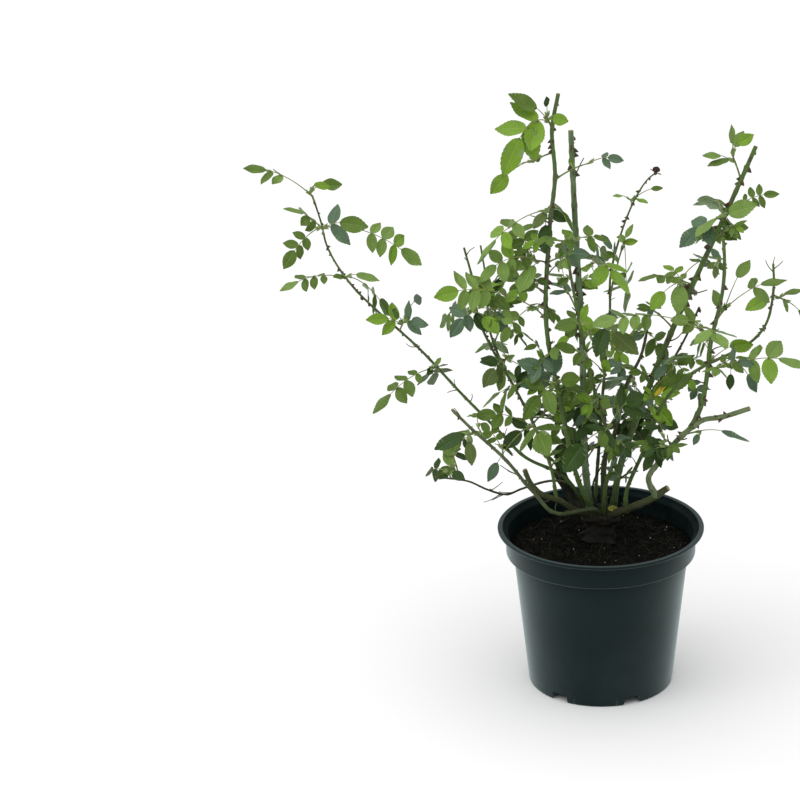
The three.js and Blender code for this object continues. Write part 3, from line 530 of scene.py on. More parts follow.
def grow_spurs():
    """Short side twigs between the shoots, with two or three small leaves each. Where a spur leaves
    its cane, its heading and length, and its leaves' headings and sizes are drawn in that order."""
    grown = {}
    for cane, (low, high, seeds) in SPURS.items():
        for seed in seeds:
            chance = seeded(seed)
            share, turn, rise = mix(low, high, chance()), 360 * chance(), mix(*SPUR["rise"], chance())
            length = mix(*SPUR["length"], chance())
            rows = []
            for aside in SPUR["aside"][:2 + (chance() < SPUR["third_leaf"])]:
                rows.append((turn + aside * mix(*SPUR["sway"], chance()), mix(*SPUR["leaf_rise"], chance()),
                             mix(*SPUR["reach"], chance()), 1 + (chance() < SPUR["second_pair"]),
                             mix(*SPUR["size"], chance())))
            grown[f"{cane}_spur_{seed}"] = grow_shoot(cane, share, (turn, rise, length), rows,
                                                      [chance] * len(rows))
    return grown


# Surfaces from arrays

def placed(name, data, spot=(0, 0, 0), facing=None):
    """A new object in the scene at spot, turned so that it looks along facing, where one is given."""
    made = bpy.data.objects.new(name, data)
    made.location = spot
    if facing is not None:
        made.rotation_euler = Vector(facing).to_track_quat("-Z", "Y").to_euler()
    bpy.context.scene.collection.objects.link(made)
    return made


def finish_piece(name, points, faces, looks, slot, stands_for=(), kinds=None, uv=None, sharp=None):
    """Puts arrays into a mesh object that rides on the root body.

    faces is a list of arrays of corner numbers, kinds a list of arrays of material numbers, uv a place
    on the piece's own map for every point, and sharp a number for every point: an edge between two
    points with the same number above 0 is sharp."""
    corners = np.concatenate([f.ravel() for f in faces]).astype(np.int32)
    sizes = np.concatenate([np.full(len(f), f.shape[1]) for f in faces])
    mesh = bpy.data.meshes.new(name)
    mesh.vertices.add(len(points))
    mesh.vertices.foreach_set("co", np.asarray(points, np.float32).ravel())
    mesh.loops.add(len(corners))
    mesh.loops.foreach_set("vertex_index", corners)
    mesh.polygons.add(len(sizes))
    mesh.polygons.foreach_set("loop_start", (np.cumsum(sizes) - sizes).astype(np.int32))
    mesh.polygons.foreach_set("use_smooth", np.ones(len(sizes), bool))
    if kinds is not None:
        mesh.polygons.foreach_set("material_index", np.concatenate(kinds).astype(np.int32))
    if uv is not None:
        layer = mesh.uv_layers.new(name="surface")
        layer.uv.foreach_set("vector", np.asarray(uv, np.float32)[corners].ravel())
    mesh.update(calc_edges=True)
    if sharp is not None:
        ends = np.empty(len(mesh.edges) * 2, np.int32)
        mesh.edges.foreach_get("vertices", ends)
        first, second = np.asarray(sharp)[ends.reshape(-1, 2)].T
        flags = (first == second) & (first > 0)
        mesh.attributes.new("sharp_edge", "BOOLEAN", "EDGE").data.foreach_set("value", flags)
    mesh.validate()
    for look in looks:
        mesh.materials.append(look)
    piece = placed(name, mesh)
    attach(piece, "root")
    if stands_for:
        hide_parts(*stands_for)


def ring_quads(rings, around):
    """Faces between rings of points, each point joined to the next one round and to the next ring."""
    ring = np.arange(around)
    following = (ring + 1) % around
    row = np.arange(rings - 1)[:, None] * around
    return np.stack([row + ring, row + following, row + following + around, row + ring + around], -1)


def ring_fan(first, around, middle, ahead):
    """Triangles from a ring of points to its middle point, wound the way round or, at a foot, back."""
    ring = first + np.arange(around)
    following = first + (np.arange(around) + 1) % around
    return np.stack([*((ring, following) if ahead else (following, ring)), np.full(around, middle)], -1)


def circle(count):
    """Cosines and sines of count angles evenly round a circle."""
    angle = 2 * np.pi * np.arange(count) / count
    return np.cos(angle), np.sin(angle)


def square_to(way, reference, turn):
    """Unit vectors square to way, turned about it from the one that is square to the reference too."""
    across = unit(np.cross(way, np.array(reference)))
    return np.cos(turn)[:, None] * across + np.sin(turn)[:, None] * np.cross(way, across)


def carried(paths, radii, sides):
    """Round profiles carried along paths.

    paths is (tubes, stations, 3) and radii (tubes, stations) or (tubes, stations, sides). A point is the
    path plus the radius times (cos a) across + (sin a) other, where across and other are square to the
    path, and both ends close on a middle point. Returns points, faces, and each face's station."""
    count, stations = paths.shape[:2]
    ways = unit(np.gradient(paths, axis=1))
    clear = np.stack([np.linalg.norm(np.cross(ways, axis), axis=2).min(axis=1) for axis in np.eye(3)], axis=1)
    reference = np.eye(3)[clear.argmax(axis=1)][:, None, :]
    across = unit(np.cross(ways, reference))
    other = np.cross(ways, across)
    cosine, sine = circle(sides)
    if radii.ndim == 2:
        radii = radii[:, :, None]
    around = cosine[:, None] * across[:, :, None] + sine[:, None] * other[:, :, None]
    skin = paths[:, :, None] + radii[..., None] * around
    each = stations * sides + 2
    points = np.concatenate([skin.reshape(count, -1, 3), paths[:, :1], paths[:, -1:]], axis=1)
    fans = [ring_fan(0, sides, each - 2, False), ring_fan((stations - 1) * sides, sides, each - 1, True)]
    shift = (np.arange(count) * each)[:, None, None]
    walls = (ring_quads(stations, sides).reshape(1, -1, 4) + shift).reshape(-1, 4)
    ends = (np.concatenate(fans)[None] + shift).reshape(-1, 3)
    wall_station = np.tile(np.repeat(np.arange(stations - 1), sides), count)
    end_station = np.tile(np.repeat([0, stations - 1], sides), count)
    return points.reshape(-1, 3), [walls, ends], [wall_station, end_station]


def uneven(points, count, low, high, seed):
    """A smooth unevenness from -1 to 1: the mean of plane waves of random heading and phase, with
    wavelengths from low to high, scaled up by the root of their number."""
    rng = np.random.default_rng(seed)
    ways = unit(rng.normal(size=(count, 3)))
    waves = 2 * np.pi / (low * (high / low) ** rng.random(count))
    phase = rng.random(count) * 2 * np.pi
    total = np.zeros(points.shape[:-1])
    for way, wave, start in zip(ways, waves, phase):
        total += np.sin(points @ (way * wave) + start)
    return total / math.sqrt(count) * 0.7


def leaf_blades(base, out, normal, length, breadth, fold, curl, twist, ripple, teeth, thickness):
    """Folded, toothed blades with two faces that meet at the margin.

    Down a blade t runs from 0 at its foot to 1 at its tip, and across it s is -1, 0 and 1. The half
    width is breadth / 2 of the length times an egg-shaped outline, drawn in between the teeth. The blade
    sinks by fold towards its midrib, by curl times t squared towards its tip, and ripples along its
    margin. All arguments but teeth and thickness are arrays with one row for each blade. Returns points,
    faces, whether each face lies underneath, places on the map, and 1 on the rim and 2 on the midrib."""
    shape = BLADE
    count = len(length)
    stations = 2 * teeth + 1
    t = np.linspace(0.0, 1.0, stations)
    s = np.array([-1.0, 0.0, 1.0])
    widest, (foot_bend, foot_power), (tip_bend, tip_power) = shape["widest"], shape["foot"], shape["tip"]
    wide = np.where(t < widest, (1 - (np.abs(t - widest) / widest) ** foot_bend) ** foot_power,
                    (1 - (np.abs(t - widest) / (1 - widest)) ** tip_bend) ** tip_power)
    wide = np.maximum(wide, np.where(t < 0.5, *shape["least"]))
    is_toothed = (t > shape["toothed"][0]) & (t < shape["toothed"][1])
    is_tooth = (np.arange(stations) % 2 == 1) & is_toothed
    outline = wide * np.where(is_tooth, shape["tooth"], np.where(is_toothed, shape["gap"], 1.0))
    lean = np.where(is_tooth, shape["tooth_lean"] / stations, 0.0)
    down = np.minimum(t[:, None] + lean[:, None] * np.abs(s), 1.0)
    length, breadth, fold, curl, twist, ripple = (
        part[:, None, None] for part in (length, breadth, fold, curl, twist, ripple))
    wide = wide[:, None]
    half = breadth / 2 * length * outline[:, None] * s
    wave = np.sin(2 * np.pi * (shape["waves"] * t[:, None] + ripple) + shape["wave_turn"] * s)
    rise = -fold * length * (1 - np.abs(s)) * wide ** shape["fold_power"] - curl * length * down**2
    rise = rise + shape["wave_height"] * length * wave * np.abs(s) * wide + twist * half * down
    side = unit(np.cross(normal, out))
    face = np.cross(out, side)
    base, out, side = (part[:, None, None] for part in (base, out, side))
    spot = (base + (length * down)[..., None] * out + half[..., None] * side
            + rise[..., None] * face[:, None, None])
    under = spot[:, 1:-1, 1] - thickness * face[:, None]
    each = stations * 3 + stations - 2
    upper_index = np.arange(stations * 3).reshape(stations, 3)
    middle = np.concatenate([[1], stations * 3 + np.arange(stations - 2), [upper_index[-1, 1]]])
    under_index = np.stack([upper_index[:, 0], middle, upper_index[:, 2]], axis=1)

    def quads(index):
        return np.stack([index[:-1, :-1], index[1:, :-1], index[1:, 1:], index[:-1, 1:]], -1).reshape(-1, 4)

    upper, lower = quads(upper_index), quads(under_index)[:, ::-1]
    shift = (np.arange(count) * each)[:, None, None]
    points = np.concatenate([spot.reshape(count, -1, 3), under], axis=1).reshape(-1, 3)
    faces = (np.concatenate([upper, lower])[None] + shift).reshape(-1, 4)
    is_under = np.tile(np.repeat([0, 1], [len(upper), len(lower)]), count)
    across, along = np.meshgrid((s + 1) / 2, t)
    place = np.concatenate([np.stack([across, along], -1).reshape(-1, 2),
                            np.stack([0 * t[1:-1] + 0.5, t[1:-1]], -1)])
    line = np.zeros(each, int)
    line[upper_index[:, 1]] = 2
    line[upper_index[:, ::2]] = 1
    return points, faces, is_under, np.tile(place, (count, 1)), np.tile(line, count)


def thorns(base, out, along, size, sides=8, rings=5):
    """Prickles: cones that flatten across the cane and hook towards its foot.

    From base to point u runs from 0 to 1. The ring at u is an ellipse, longest along the cane, that
    shrinks as a power of (1 - u), and its middle lies out by u and towards the foot by the hook times
    u squared."""
    count = len(size)
    u = np.linspace(0.0, THORN["last_ring"], rings)[:, None, None]
    cosine, sine = (part[:, None] for part in circle(sides))
    base, out, along = (part[:, None, None] for part in (base, out, along))
    size = size[:, None, None, None]
    middle = base + size * u * out - size * THORN["hook"] * u**2 * along
    ring = THORN["along"] * cosine * along + THORN["across"] * sine * np.cross(out, along)
    skin = middle + size * (1 - u) ** THORN["slim"] * ring
    point = base + size * out - size * THORN["tip_hook"] * along
    each = rings * sides + 1
    points = np.concatenate([skin.reshape(count, -1, 3), point[:, 0]], axis=1).reshape(-1, 3)
    shift = (np.arange(count) * each)[:, None, None]
    walls = (ring_quads(rings, sides).reshape(1, -1, 4) + shift).reshape(-1, 4)
    tips = (ring_fan((rings - 1) * sides, sides, each - 1, True)[None] + shift).reshape(-1, 3)
    return points, [walls, tips]


def crumbs(centres, half_sizes, seed):
    """Rough lumps: octahedra with uneven corners, turned at random."""
    rng = np.random.default_rng(seed)
    corner = np.array([[1, 0, 0], [-1, 0, 0], [0, 1, 0], [0, -1, 0], [0, 0, 1], [0, 0, -1]], float)
    faces = np.array([[0, 2, 4], [2, 1, 4], [1, 3, 4], [3, 0, 4], [2, 0, 5], [1, 2, 5], [3, 1, 5], [0, 3, 5]])
    count = len(centres)
    a = unit(rng.normal(size=(count, 3)))
    b = unit(np.cross(a, rng.normal(size=(count, 3))))
    turn = np.stack([a, b, np.cross(a, b)], axis=1)
    local = corner[None] * half_sizes[:, None, :] * (0.7 + 0.6 * rng.random((count, 6, 1)))
    points = centres[:, None, :] + np.einsum("nik,nkj->nij", local, turn)
    return points.reshape(-1, 3), (faces[None] + (np.arange(count) * 6)[:, None, None]).reshape(-1, 3)


def rounded(corners, radii, steps=5):
    """A profile of (radius, height) corners, each rounded by an arc of its own radius that meets both
    neighbouring edges square to its ends."""
    corners = [np.array(c, float) for c in corners]
    out = [corners[0]]
    for before, here, after, radius in zip(corners, corners[1:], corners[2:], radii[1:]):
        back, ahead = unit(before - here), unit(after - here)
        half = math.acos(float(np.clip(np.dot(back, ahead), -1, 1))) / 2
        if radius <= 0 or half > 1.55:
            out.append(here)
            continue
        shorter = min(np.linalg.norm(before - here), np.linalg.norm(after - here))
        cut = min(radius / math.tan(half), 0.45 * shorter)
        centre = here + unit(back + ahead) * cut / math.cos(half)
        start, finish = here + back * cut - centre, here + ahead * cut - centre
        sweep = math.pi - 2 * half
        u = np.linspace(0.0, 1.0, steps)[:, None]
        out.extend(centre + (start * np.sin((1 - u) * sweep) + finish * np.sin(u * sweep)) / math.sin(sweep))
    out.append(corners[-1])
    return np.array(out)


# Finishes

class Wire:
    """One socket of a finish. Arithmetic on it adds the Math nodes it stands for."""

    def __init__(self, finish, socket):
        self.finish, self.socket = finish, socket

    def math(self, operation, *others):
        return self.finish.node("ShaderNodeMath", {"operation": operation}, dict(enumerate((self, *others))))

    def __add__(self, other):
        return self.math("ADD", other)

    def __sub__(self, other):
        return self.math("SUBTRACT", other)

    def __mul__(self, other):
        return self.math("MULTIPLY", other)

    def __rsub__(self, other):
        return self.finish.node("ShaderNodeMath", {"operation": "SUBTRACT"}, {0: other, 1: self})

    __radd__ = __add__
    __rmul__ = __mul__

    def step(self, low, high):
        """0 below low and 1 above high, with a smooth step between."""
        return self.finish.node("ShaderNodeMapRange", {"interpolation_type": "SMOOTHSTEP"},
                                {"Value": self, "From Min": low, "From Max": high})


class Finish:
    """A material under construction, with one method for every node it needs."""

    def __init__(self, name, rough, color, **fixed):
        self.material = bpy.data.materials.new(name)
        self.material.use_nodes = True
        self.tree = self.material.node_tree
        self.shader = self.tree.nodes["Principled BSDF"]
        self.shader.inputs["Roughness"].default_value = rough
        self.shader.inputs["Base Color"].default_value = (*color, 1.0)
        for key, value in fixed.items():
            self.shader.inputs[key.replace("_", " ")].default_value = value

    def node(self, kind, settings=None, inputs=None, output=0):
        made = self.tree.nodes.new(kind)
        for key, value in (settings or {}).items():
            setattr(made, key, value)
        for key, value in (inputs or {}).items():
            self.feed(made.inputs[key], value)
        return Wire(self, made.outputs[output])

    def feed(self, socket, value):
        if isinstance(value, Wire):
            self.tree.links.new(value.socket, socket)
        elif socket.type == "RGBA" and len(value) == 3:
            socket.default_value = (*value, 1.0)
        else:
            socket.default_value = value

    def place(self, stretch=(1.0, 1.0, 1.0)):
        """Object coordinates in metres, stretched."""
        spot = self.node("ShaderNodeTexCoord", output="Object")
        return self.node("ShaderNodeMapping", None, {"Vector": spot, "Scale": stretch})

    def part(self, vector, axis):
        """One number of a vector: its X, Y or Z."""
        return self.node("ShaderNodeSeparateXYZ", None, {"Vector": vector}, output=axis)

    def noise(self, scale, detail=3.0, rough=0.5, stretch=(1.0, 1.0, 1.0)):
        return self.node("ShaderNodeTexNoise", None, {
            "Vector": self.place(stretch), "Scale": scale, "Detail": detail, "Roughness": rough})

    def blend(self, share, low, high):
        return self.node("ShaderNodeMix", {"data_type": "RGBA"}, {0: share, 6: low, 7: high}, output=2)

    def colour(self, value):
        self.feed(self.shader.inputs["Base Color"], value)

    def roughness(self, value):
        self.feed(self.shader.inputs["Roughness"], value)

    def relief(self, height, distance, strength=1.0):
        """Adds a bump of that height, and hands over the finished material."""
        bump = self.node("ShaderNodeBump", None, {
            "Height": height, "Distance": distance, "Strength": strength})
        self.feed(self.shader.inputs["Normal"], bump)
        return self.material


def srgb(red, green, blue):
    """A screen colour from 0 to 255 as the linear colour that a finish takes."""
    value = np.array([red, green, blue]) / 255
    linear = np.where(value <= 0.04045, value / 12.92, ((value + 0.055) / 1.055) ** 2.4)
    return tuple(linear.tolist())


def shade(color, strength):
    """A colour made darker or lighter."""
    return tuple(min(1, strength * c) for c in color)


def pot_plastic(color, rough):
    """Moulded dark plastic: faint flow marks, a fine grain, and paler patches towards its foot."""
    made = Finish("pot_plastic", rough, color, Specular_IOR_Level=0.07, Specular_Tint=(0.75, 1.0, 1.0, 1.0),
                  Sheen_Weight=0.66, Sheen_Roughness=0.4, Sheen_Tint=(0.8, 0.97, 0.97, 1.0))
    # Paler in patches towards the foot, fading out 130 mm up
    pale_patches_low = (1 - made.part(made.place(), "Z").step(0.0, 0.13)) * made.noise(14, 5).step(0.3, 0.75)
    marks = made.noise(5, 4, stretch=(1, 1, 3)).step(0.35, 0.7)
    plain = made.blend(marks * 0.6, color, shade(color, 1.5))
    made.colour(made.blend(pale_patches_low * 0.4, plain, srgb(46, 56, 55)))
    made.roughness(rough - 0.06 + made.noise(32, 4) * 0.14)
    return made.relief(made.noise(700, 2) * 0.4 + made.noise(26, 2), 0.0004, 0.35)


def pot_lining(color):
    """The pot's inner face: the same plastic, matt and dusty."""
    made = Finish("pot_lining", 0.7, color, Specular_IOR_Level=0.06)
    made.colour(made.blend(made.noise(30, 5).step(0.3, 0.8), shade(color, 1.5), srgb(34, 46, 44)))
    return made.relief(made.noise(500, 2), 0.0003, 0.3)


def compost(name, dark, pale):
    """Damp compost: near-black with brown fibre, wet sheen only in places."""
    made = Finish(name, 0.9, dark, Specular_IOR_Level=0.08)
    made.colour(made.blend(made.noise(160, 6, 0.7).step(0.42, 0.72), dark, pale))
    made.roughness(0.72 + made.noise(90, 3) * 0.25)
    return made.relief(made.noise(420, 6, 0.75), 0.002, 0.9)


def rose_bark(name, ground, patch, fleck, rough=0.55):
    """Rose bark: patches drawn out along the cane, small brown flecks, a fine lengthwise grain, and
    feet darkened by a painted shade."""
    made = Finish(name, rough, ground, Specular_IOR_Level=0.28)
    patches = made.noise(70, 4, 0.6, stretch=(1, 1, 0.3)).step(0.4, 0.68)
    flecks = made.noise(620, 3, 0.6, stretch=(1, 1, 0.45)).step(0.6, 0.7)
    # Painted shade: below these heights the bark blends towards a fifth of its ground colour
    unshaded = made.part(made.place(), "Z").step(*SHADED_FEET) * 0.75 + 0.25
    bark = made.blend(flecks * 0.75, made.blend(patches, ground, patch), fleck)
    made.colour(made.blend(unshaded, shade(ground, 0.2), bark))
    made.roughness(rough - 0.08 + made.noise(150, 3) * 0.2)
    grain = made.noise(900, 4, 0.6, stretch=(1, 1, 0.12)) + flecks * 0.5
    return made.relief(grain, 0.0006, 0.6)


def rough_bark(name, dark, pale):
    """Old bark: cracked lengthwise, grey on its ridges."""
    made = Finish(name, 0.85, dark, Specular_IOR_Level=0.25)
    ridges = made.noise(210, 6, 0.7, stretch=(1, 1, 0.4))
    made.colour(made.blend(ridges.step(0.42, 0.66), dark, pale))
    return made.relief(ridges, 0.003, 0.9)


def cut_wood(name, color, ring):
    """A pruned end, blotched with a second tone."""
    made = Finish(name, 0.8, color, Specular_IOR_Level=0.2)
    made.colour(made.blend(made.noise(1500, 4).step(0.4, 0.7), color, ring))
    return made.relief(made.noise(2500, 3), 0.0004, 0.5)


def leaf_skin(name, color, vein, rough=0.4, sheen=0.2, depth=0.0006):
    """One face of a rose leaf on its own map: a midrib, side veins that bend towards the tip, a skin
    that swells between them, and light mottling."""
    made = Finish(name, rough, color, Specular_IOR_Level=sheen)
    place = made.node("ShaderNodeUVMap", {"uv_map": "surface"})
    across, along = made.part(place, "X"), made.part(place, "Y")
    off = (across - 0.5).math("ABSOLUTE") * 2
    midrib = 1 - off.step(0.0, 0.13)
    beat = ((along * 8 - off * 2.2).math("FRACT") - 0.5).math("ABSOLUTE") * 2
    side_veins = (1 - beat.step(0.0, 0.3)) * (1 - off.step(0.7, 1.0))
    veins = midrib.math("MAXIMUM", side_veins * 0.4)
    mottle = made.noise(60, 3, 0.6).step(0.3, 0.75)
    ground = made.blend(mottle, shade(color, 0.88), shade(color, 1.1))
    made.colour(made.blend(veins * 0.34, ground, vein))
    made.roughness(rough + made.noise(60, 2) * 0.12 - 0.06)
    return made.relief(beat * 0.6 - midrib * 0.9, depth, 0.55)


def plain_skin(name, color, other, rough=0.55, scale=240, depth=0.0005):
    """A small part's skin: two tones and a fine grain."""
    made = Finish(name, rough, color, Specular_IOR_Level=0.35)
    made.colour(made.blend(made.noise(scale, 4).step(0.35, 0.7), color, other))
    return made.relief(made.noise(scale * 4, 3), depth, 0.5)


# Sizes and colours a user can change

def length_property(name, description, default):
    """A length in metres."""
    return FloatProperty(name=name, description=description, default=default, unit="LENGTH")


def colour_property(name, description, default):
    """A colour, with its default as a linear one."""
    return FloatVectorProperty(name=name, description=description, default=default, subtype="COLOR")


class PotSizes(bpy.types.PropertyGroup):
    """The nursery pot."""
    height: length_property("Height", "Floor to the top of the rim", 0.193)
    rim_radius: length_property("Rim radius", "Outer radius of the rim", 0.12)
    foot_radius: length_property("Foot radius", "Outer radius at the floor", 0.0843)
    color: colour_property("Plastic", "Colour of the pot", srgb(9, 22, 23))
    rough: FloatProperty(name="Roughness", description="Roughness of the plastic", default=0.42,
                         subtype="FACTOR")


class SoilLook(bpy.types.PropertyGroup):
    """The compost and what lies on it."""
    dark: colour_property("Dark", "Wet compost", srgb(10, 11, 8))
    pale: colour_property("Pale", "Dry fibre", srgb(31, 29, 23))
    crumbs: IntProperty(name="Crumbs", description="Loose lumps on the surface", default=5200, min=0)
    fibres: IntProperty(name="Fibres", description="Loose root and coir fibres", default=130, min=0)
    perlite: IntProperty(name="Perlite", description="White grains", default=22, min=0)


class CaneLook(bpy.types.PropertyGroup):
    """Canes, prickles and old wood."""
    station: length_property("Station", "Distance between rings along a cane", 0.0016)
    sides: IntProperty(name="Sides", description="Facets round a cane", default=14, min=6)
    prickle_spacing: length_property("Prickle spacing", "Mean distance between prickles", 0.008)
    prickle_height: length_property("Prickle height", "Tallest prickle", 0.0074)
    green: colour_property("Green bark", "Two-year canes", srgb(78, 104, 44))
    pale: colour_property("Pale bark", "Young low canes", srgb(92, 108, 68))
    old: colour_property("Old bark", "Grey-brown wood", srgb(68, 74, 44))
    prickle: colour_property("Prickle", "Prickles", srgb(56, 40, 26))


class LeafLook(bpy.types.PropertyGroup):
    """Leaves and their stalks."""
    breadth: FloatProperty(name="Breadth", description="Leaflet width over its length", default=0.59)
    teeth: IntProperty(name="Teeth", description="Teeth along each margin", default=9, min=3)
    thickness: length_property("Thickness", "Leaflet thickness", 0.00045)
    fold: FloatProperty(name="Fold", description="Depth of the midrib over the length", default=0.055)
    lean: FloatProperty(name="Lean", description="Most that a leaflet turns about its midrib, in degrees",
                        default=28)
    bright: colour_property("Bright", "Young sunlit leaves", srgb(113, 148, 42))
    light: colour_property("Light", "Light green leaves", srgb(110, 138, 62))
    mid: colour_property("Mid", "Most leaves", srgb(86, 111, 40))
    # Deep is partly the leaves' own darker green and partly a painted shade on leaves low in the bush
    deep: colour_property("Deep", "Dark leaves low down", srgb(46, 70, 22))
    olive: colour_property("Olive", "Reddish young leaves", srgb(82, 98, 46))
    yellow: colour_property("Yellow", "Fading leaves", srgb(186, 168, 36))
    # Blue-green is partly the leaves' own grey bloom and partly a painted reflection of the sky on leaves
    # facing away
    blue: colour_property("Blue-green", "Matt leaves with a grey bloom", srgb(84, 108, 80))
    under: colour_property("Underside", "Pale underside", srgb(122, 146, 100))


class StageLook(bpy.types.PropertyGroup):
    """Camera, floor and light."""
    distance: length_property("Distance", "Camera to the pot, level", 3.6)
    elevation: FloatProperty(name="Elevation", description="Camera above the rim, in degrees", default=23.8)
    focal: FloatProperty(name="Focal", description="Focal length in pixels of an 800 pixel frame",
                         default=3377)
    floor: colour_property("Floor", "Floor colour", (0.84, 0.84, 0.835))
    sky: FloatProperty(name="Sky", description="Even light from all round", default=0.5)
    key: FloatProperty(name="Key", description="Wide soft light from above", default=2.35)
    fill: FloatProperty(name="Fill", description="Soft light from the left", default=12, unit="POWER")


GROUPS = {"rose_pot": PotSizes, "rose_soil": SoilLook, "rose_canes": CaneLook, "rose_leaves": LeafLook,
          "rose_stage": StageLook}


# The pieces

def pot_profile(foot, rim, top, lean):
    """The pot's outline from the middle of the underside out, up the wall, over the rim and down
    inside, in millimetres, with rounded corners. lean is how far the wall leans out for its height."""
    p, k, wall = POT, NOTCH, POT["wall"]
    band, waist = p["band_radius"], p["waist_radius"]
    over_notch = k["height"] + 0.6
    shape = [  # radius, height, rounding
        (0.6, 0, 0), (k["inner"], 0, 0), (k["inner"] + 0.5, 0, 0), (70, 0, 0), (foot, 0, 1.6),
        (foot + 4 * lean, 4, 0), (foot + over_notch * lean, over_notch, 0), (foot + 60 * lean, 60, 0),
        (waist, p["waist_height"], 1.2), (band, p["band_foot"], 1.4),
        (band + 0.4, p["band_top"], 1.2), (rim - 0.4, top - p["rim_thickness"] - 0.3, 1),
        (rim, top, 1.7), (p["rim_inner"], top, 1.2), (p["rim_inner"] - 1.6, top - 3, 1.2),
        (band - wall, p["band_top"] - 3, 2), (band - wall, p["band_foot"] + p["step"], 1),
        (waist - wall, p["waist_height"] + p["step"], 1), (foot + 15 * lean - wall, 15, 2),
        (p["ledge_outer"], p["ledge_height"], 1), (p["ledge_inner"] + 2, p["ledge_height"], 1),
        (p["ledge_inner"] - 1.5, p["floor"], 1), (0.6, p["floor"], 0)]
    return rounded([s[:2] for s in shape], [s[2] for s in shape], 6)


def notch_arch(foot):
    """Turns round the foot in degrees, close-set at each notch and slit, and how high a notch's arch
    stands at each. The arch has rounded top corners, and a flare of a squared curve where it meets the
    floor. A narrow slit stands on each side of the notch."""
    k = NOTCH
    half, slit = k["width"] / 2, k["width"] / 2 + k["slit_aside"]
    steps = np.degrees(np.concatenate([half - np.array(SIDE_STOPS), slit + np.array(SLIT_STOPS)]) / foot)
    turns = set(np.round(np.linspace(-180, 180, 241)[:-1], 3))
    middles = k["first_turn"] + np.arange(k["count"]) * 360 / k["count"]
    for middle in middles:
        turns |= {round((middle + hand * step + 180) % 360 - 180, 3) for step in steps for hand in (1, -1)}
    turns = np.array(sorted(turns))
    apart = (turns[:, None] - middles + 180) % 360 - 180
    aside = np.radians(np.abs(apart).min(axis=1)) * foot
    inside = half - aside
    bend = np.clip(k["corner"] - inside, 0, k["corner"])
    flare = k["flare"] * (1 - np.sqrt(np.clip(-inside / k["flare"], 0, 1))) ** 2
    height = np.where(inside > 0, k["height"] - k["corner"] + np.sqrt(k["corner"]**2 - bend**2), flare)
    return turns, np.where(np.abs(aside - slit) < k["slit_half"], k["slit"], height)


def pot_surface(sizes):
    """The pot as a profile turned through a whole circle, with its foot lifted at the notches: there
    every point of the foot lower than the notch's arch is lifted to it. Returns points, faces, and 1
    for the faces of the inside."""
    foot, rim, top = sizes.foot_radius / MM, sizes.rim_radius / MM, sizes.height / MM
    lean = (POT["waist_radius"] - foot) / POT["waist_height"]
    profile = pot_profile(foot, rim, top, lean)
    turns, arch_height = notch_arch(foot)
    radius = np.repeat(profile[:, :1], len(turns), axis=1)
    height = np.repeat(profile[:, 1:], len(turns), axis=1)
    underside = (np.arange(len(profile)) < len(profile) // 2)[:, None] & (radius > NOTCH["inner"] + 0.1)
    lifted = np.where(underside, np.maximum(height, arch_height[None]), height)
    radius = radius + np.where(radius > foot - 2, lean * (lifted - height), 0)
    angle = np.radians(turns)
    points = np.stack([radius * np.cos(angle), radius * np.sin(angle), lifted], axis=-1) * MM
    brink = np.argmax((profile[:, 1] > top - 0.3) & (profile[:, 0] < POT["rim_inner"] + 1.3))
    kinds = [np.repeat(np.arange(len(profile) - 1) >= brink, len(turns)), np.repeat([0, 1], len(turns))]
    return (*turned_skin(points), kinds)


def turned_skin(points):
    """A closed skin from rings of points (rings, around, 3), with each end closed on its middle."""
    rings, around = points.shape[:2]
    middles = np.stack([points[0].mean(axis=0), points[-1].mean(axis=0)])
    first, last = rings * around, rings * around + 1
    ends = [ring_fan(0, around, first, False), ring_fan((rings - 1) * around, around, last, True)]
    return (np.vstack([points.reshape(-1, 3), middles]),
            [ring_quads(rings, around).reshape(-1, 4), np.concatenate(ends)])


def soil_height(x, y):
    """Height of the compost in millimetres: it slopes up from the wall to a low mound at the neck,
    with an unevenness of plane waves 11 to 60 mm long and a finer one 3 to 8 mm long, which is calmer
    by the wall."""
    r = np.hypot(x, y)
    bank = np.interp(r, [0, SOIL["shoulder_radius"], SOIL["edge_radius"]],
                     [SOIL["crest"], SOIL["shoulder_height"], SOIL["edge_height"]])
    spot = np.stack([x, y, np.zeros_like(x)], axis=-1)
    rough = sum(height * uneven(spot, *waves) for height, *waves in SOIL["waves"])
    return bank + rough * (1 - SOIL["calm"] * ease(SOIL["calm_from"], SOIL["calm_to"], r))


def soil_surface():
    """The compost's top as a height over a disc, with a skirt that closes it underneath."""
    skirt = np.array(SOIL["skirt"])
    r = np.concatenate([np.linspace(0.8, SOIL["edge_radius"], 90), skirt[:, 0]])
    angle = np.linspace(0, 2 * np.pi, 240, endpoint=False)
    x, y = r[:, None] * np.cos(angle), r[:, None] * np.sin(angle)
    z = soil_height(x, y)
    z[-len(skirt):] = skirt[:, 1:]
    return turned_skin(np.stack([x, y, z], axis=-1)[::-1] * MM)


def radius_along(plan, share):
    """The radius, in metres, at that share of a line whose girth runs evenly from foot to tip."""
    return mix(*plan["girth"], share) * MM / 2


def flare(run, widening, reach):
    """What a tube's foot adds to its radius, as a share of it: widening times e to the -run / reach."""
    return widening * np.exp(-run / reach)


def strayed(way, rng):
    """Random unit vectors square to way."""
    return unit(np.cross(way, rng.normal(size=way.shape)))


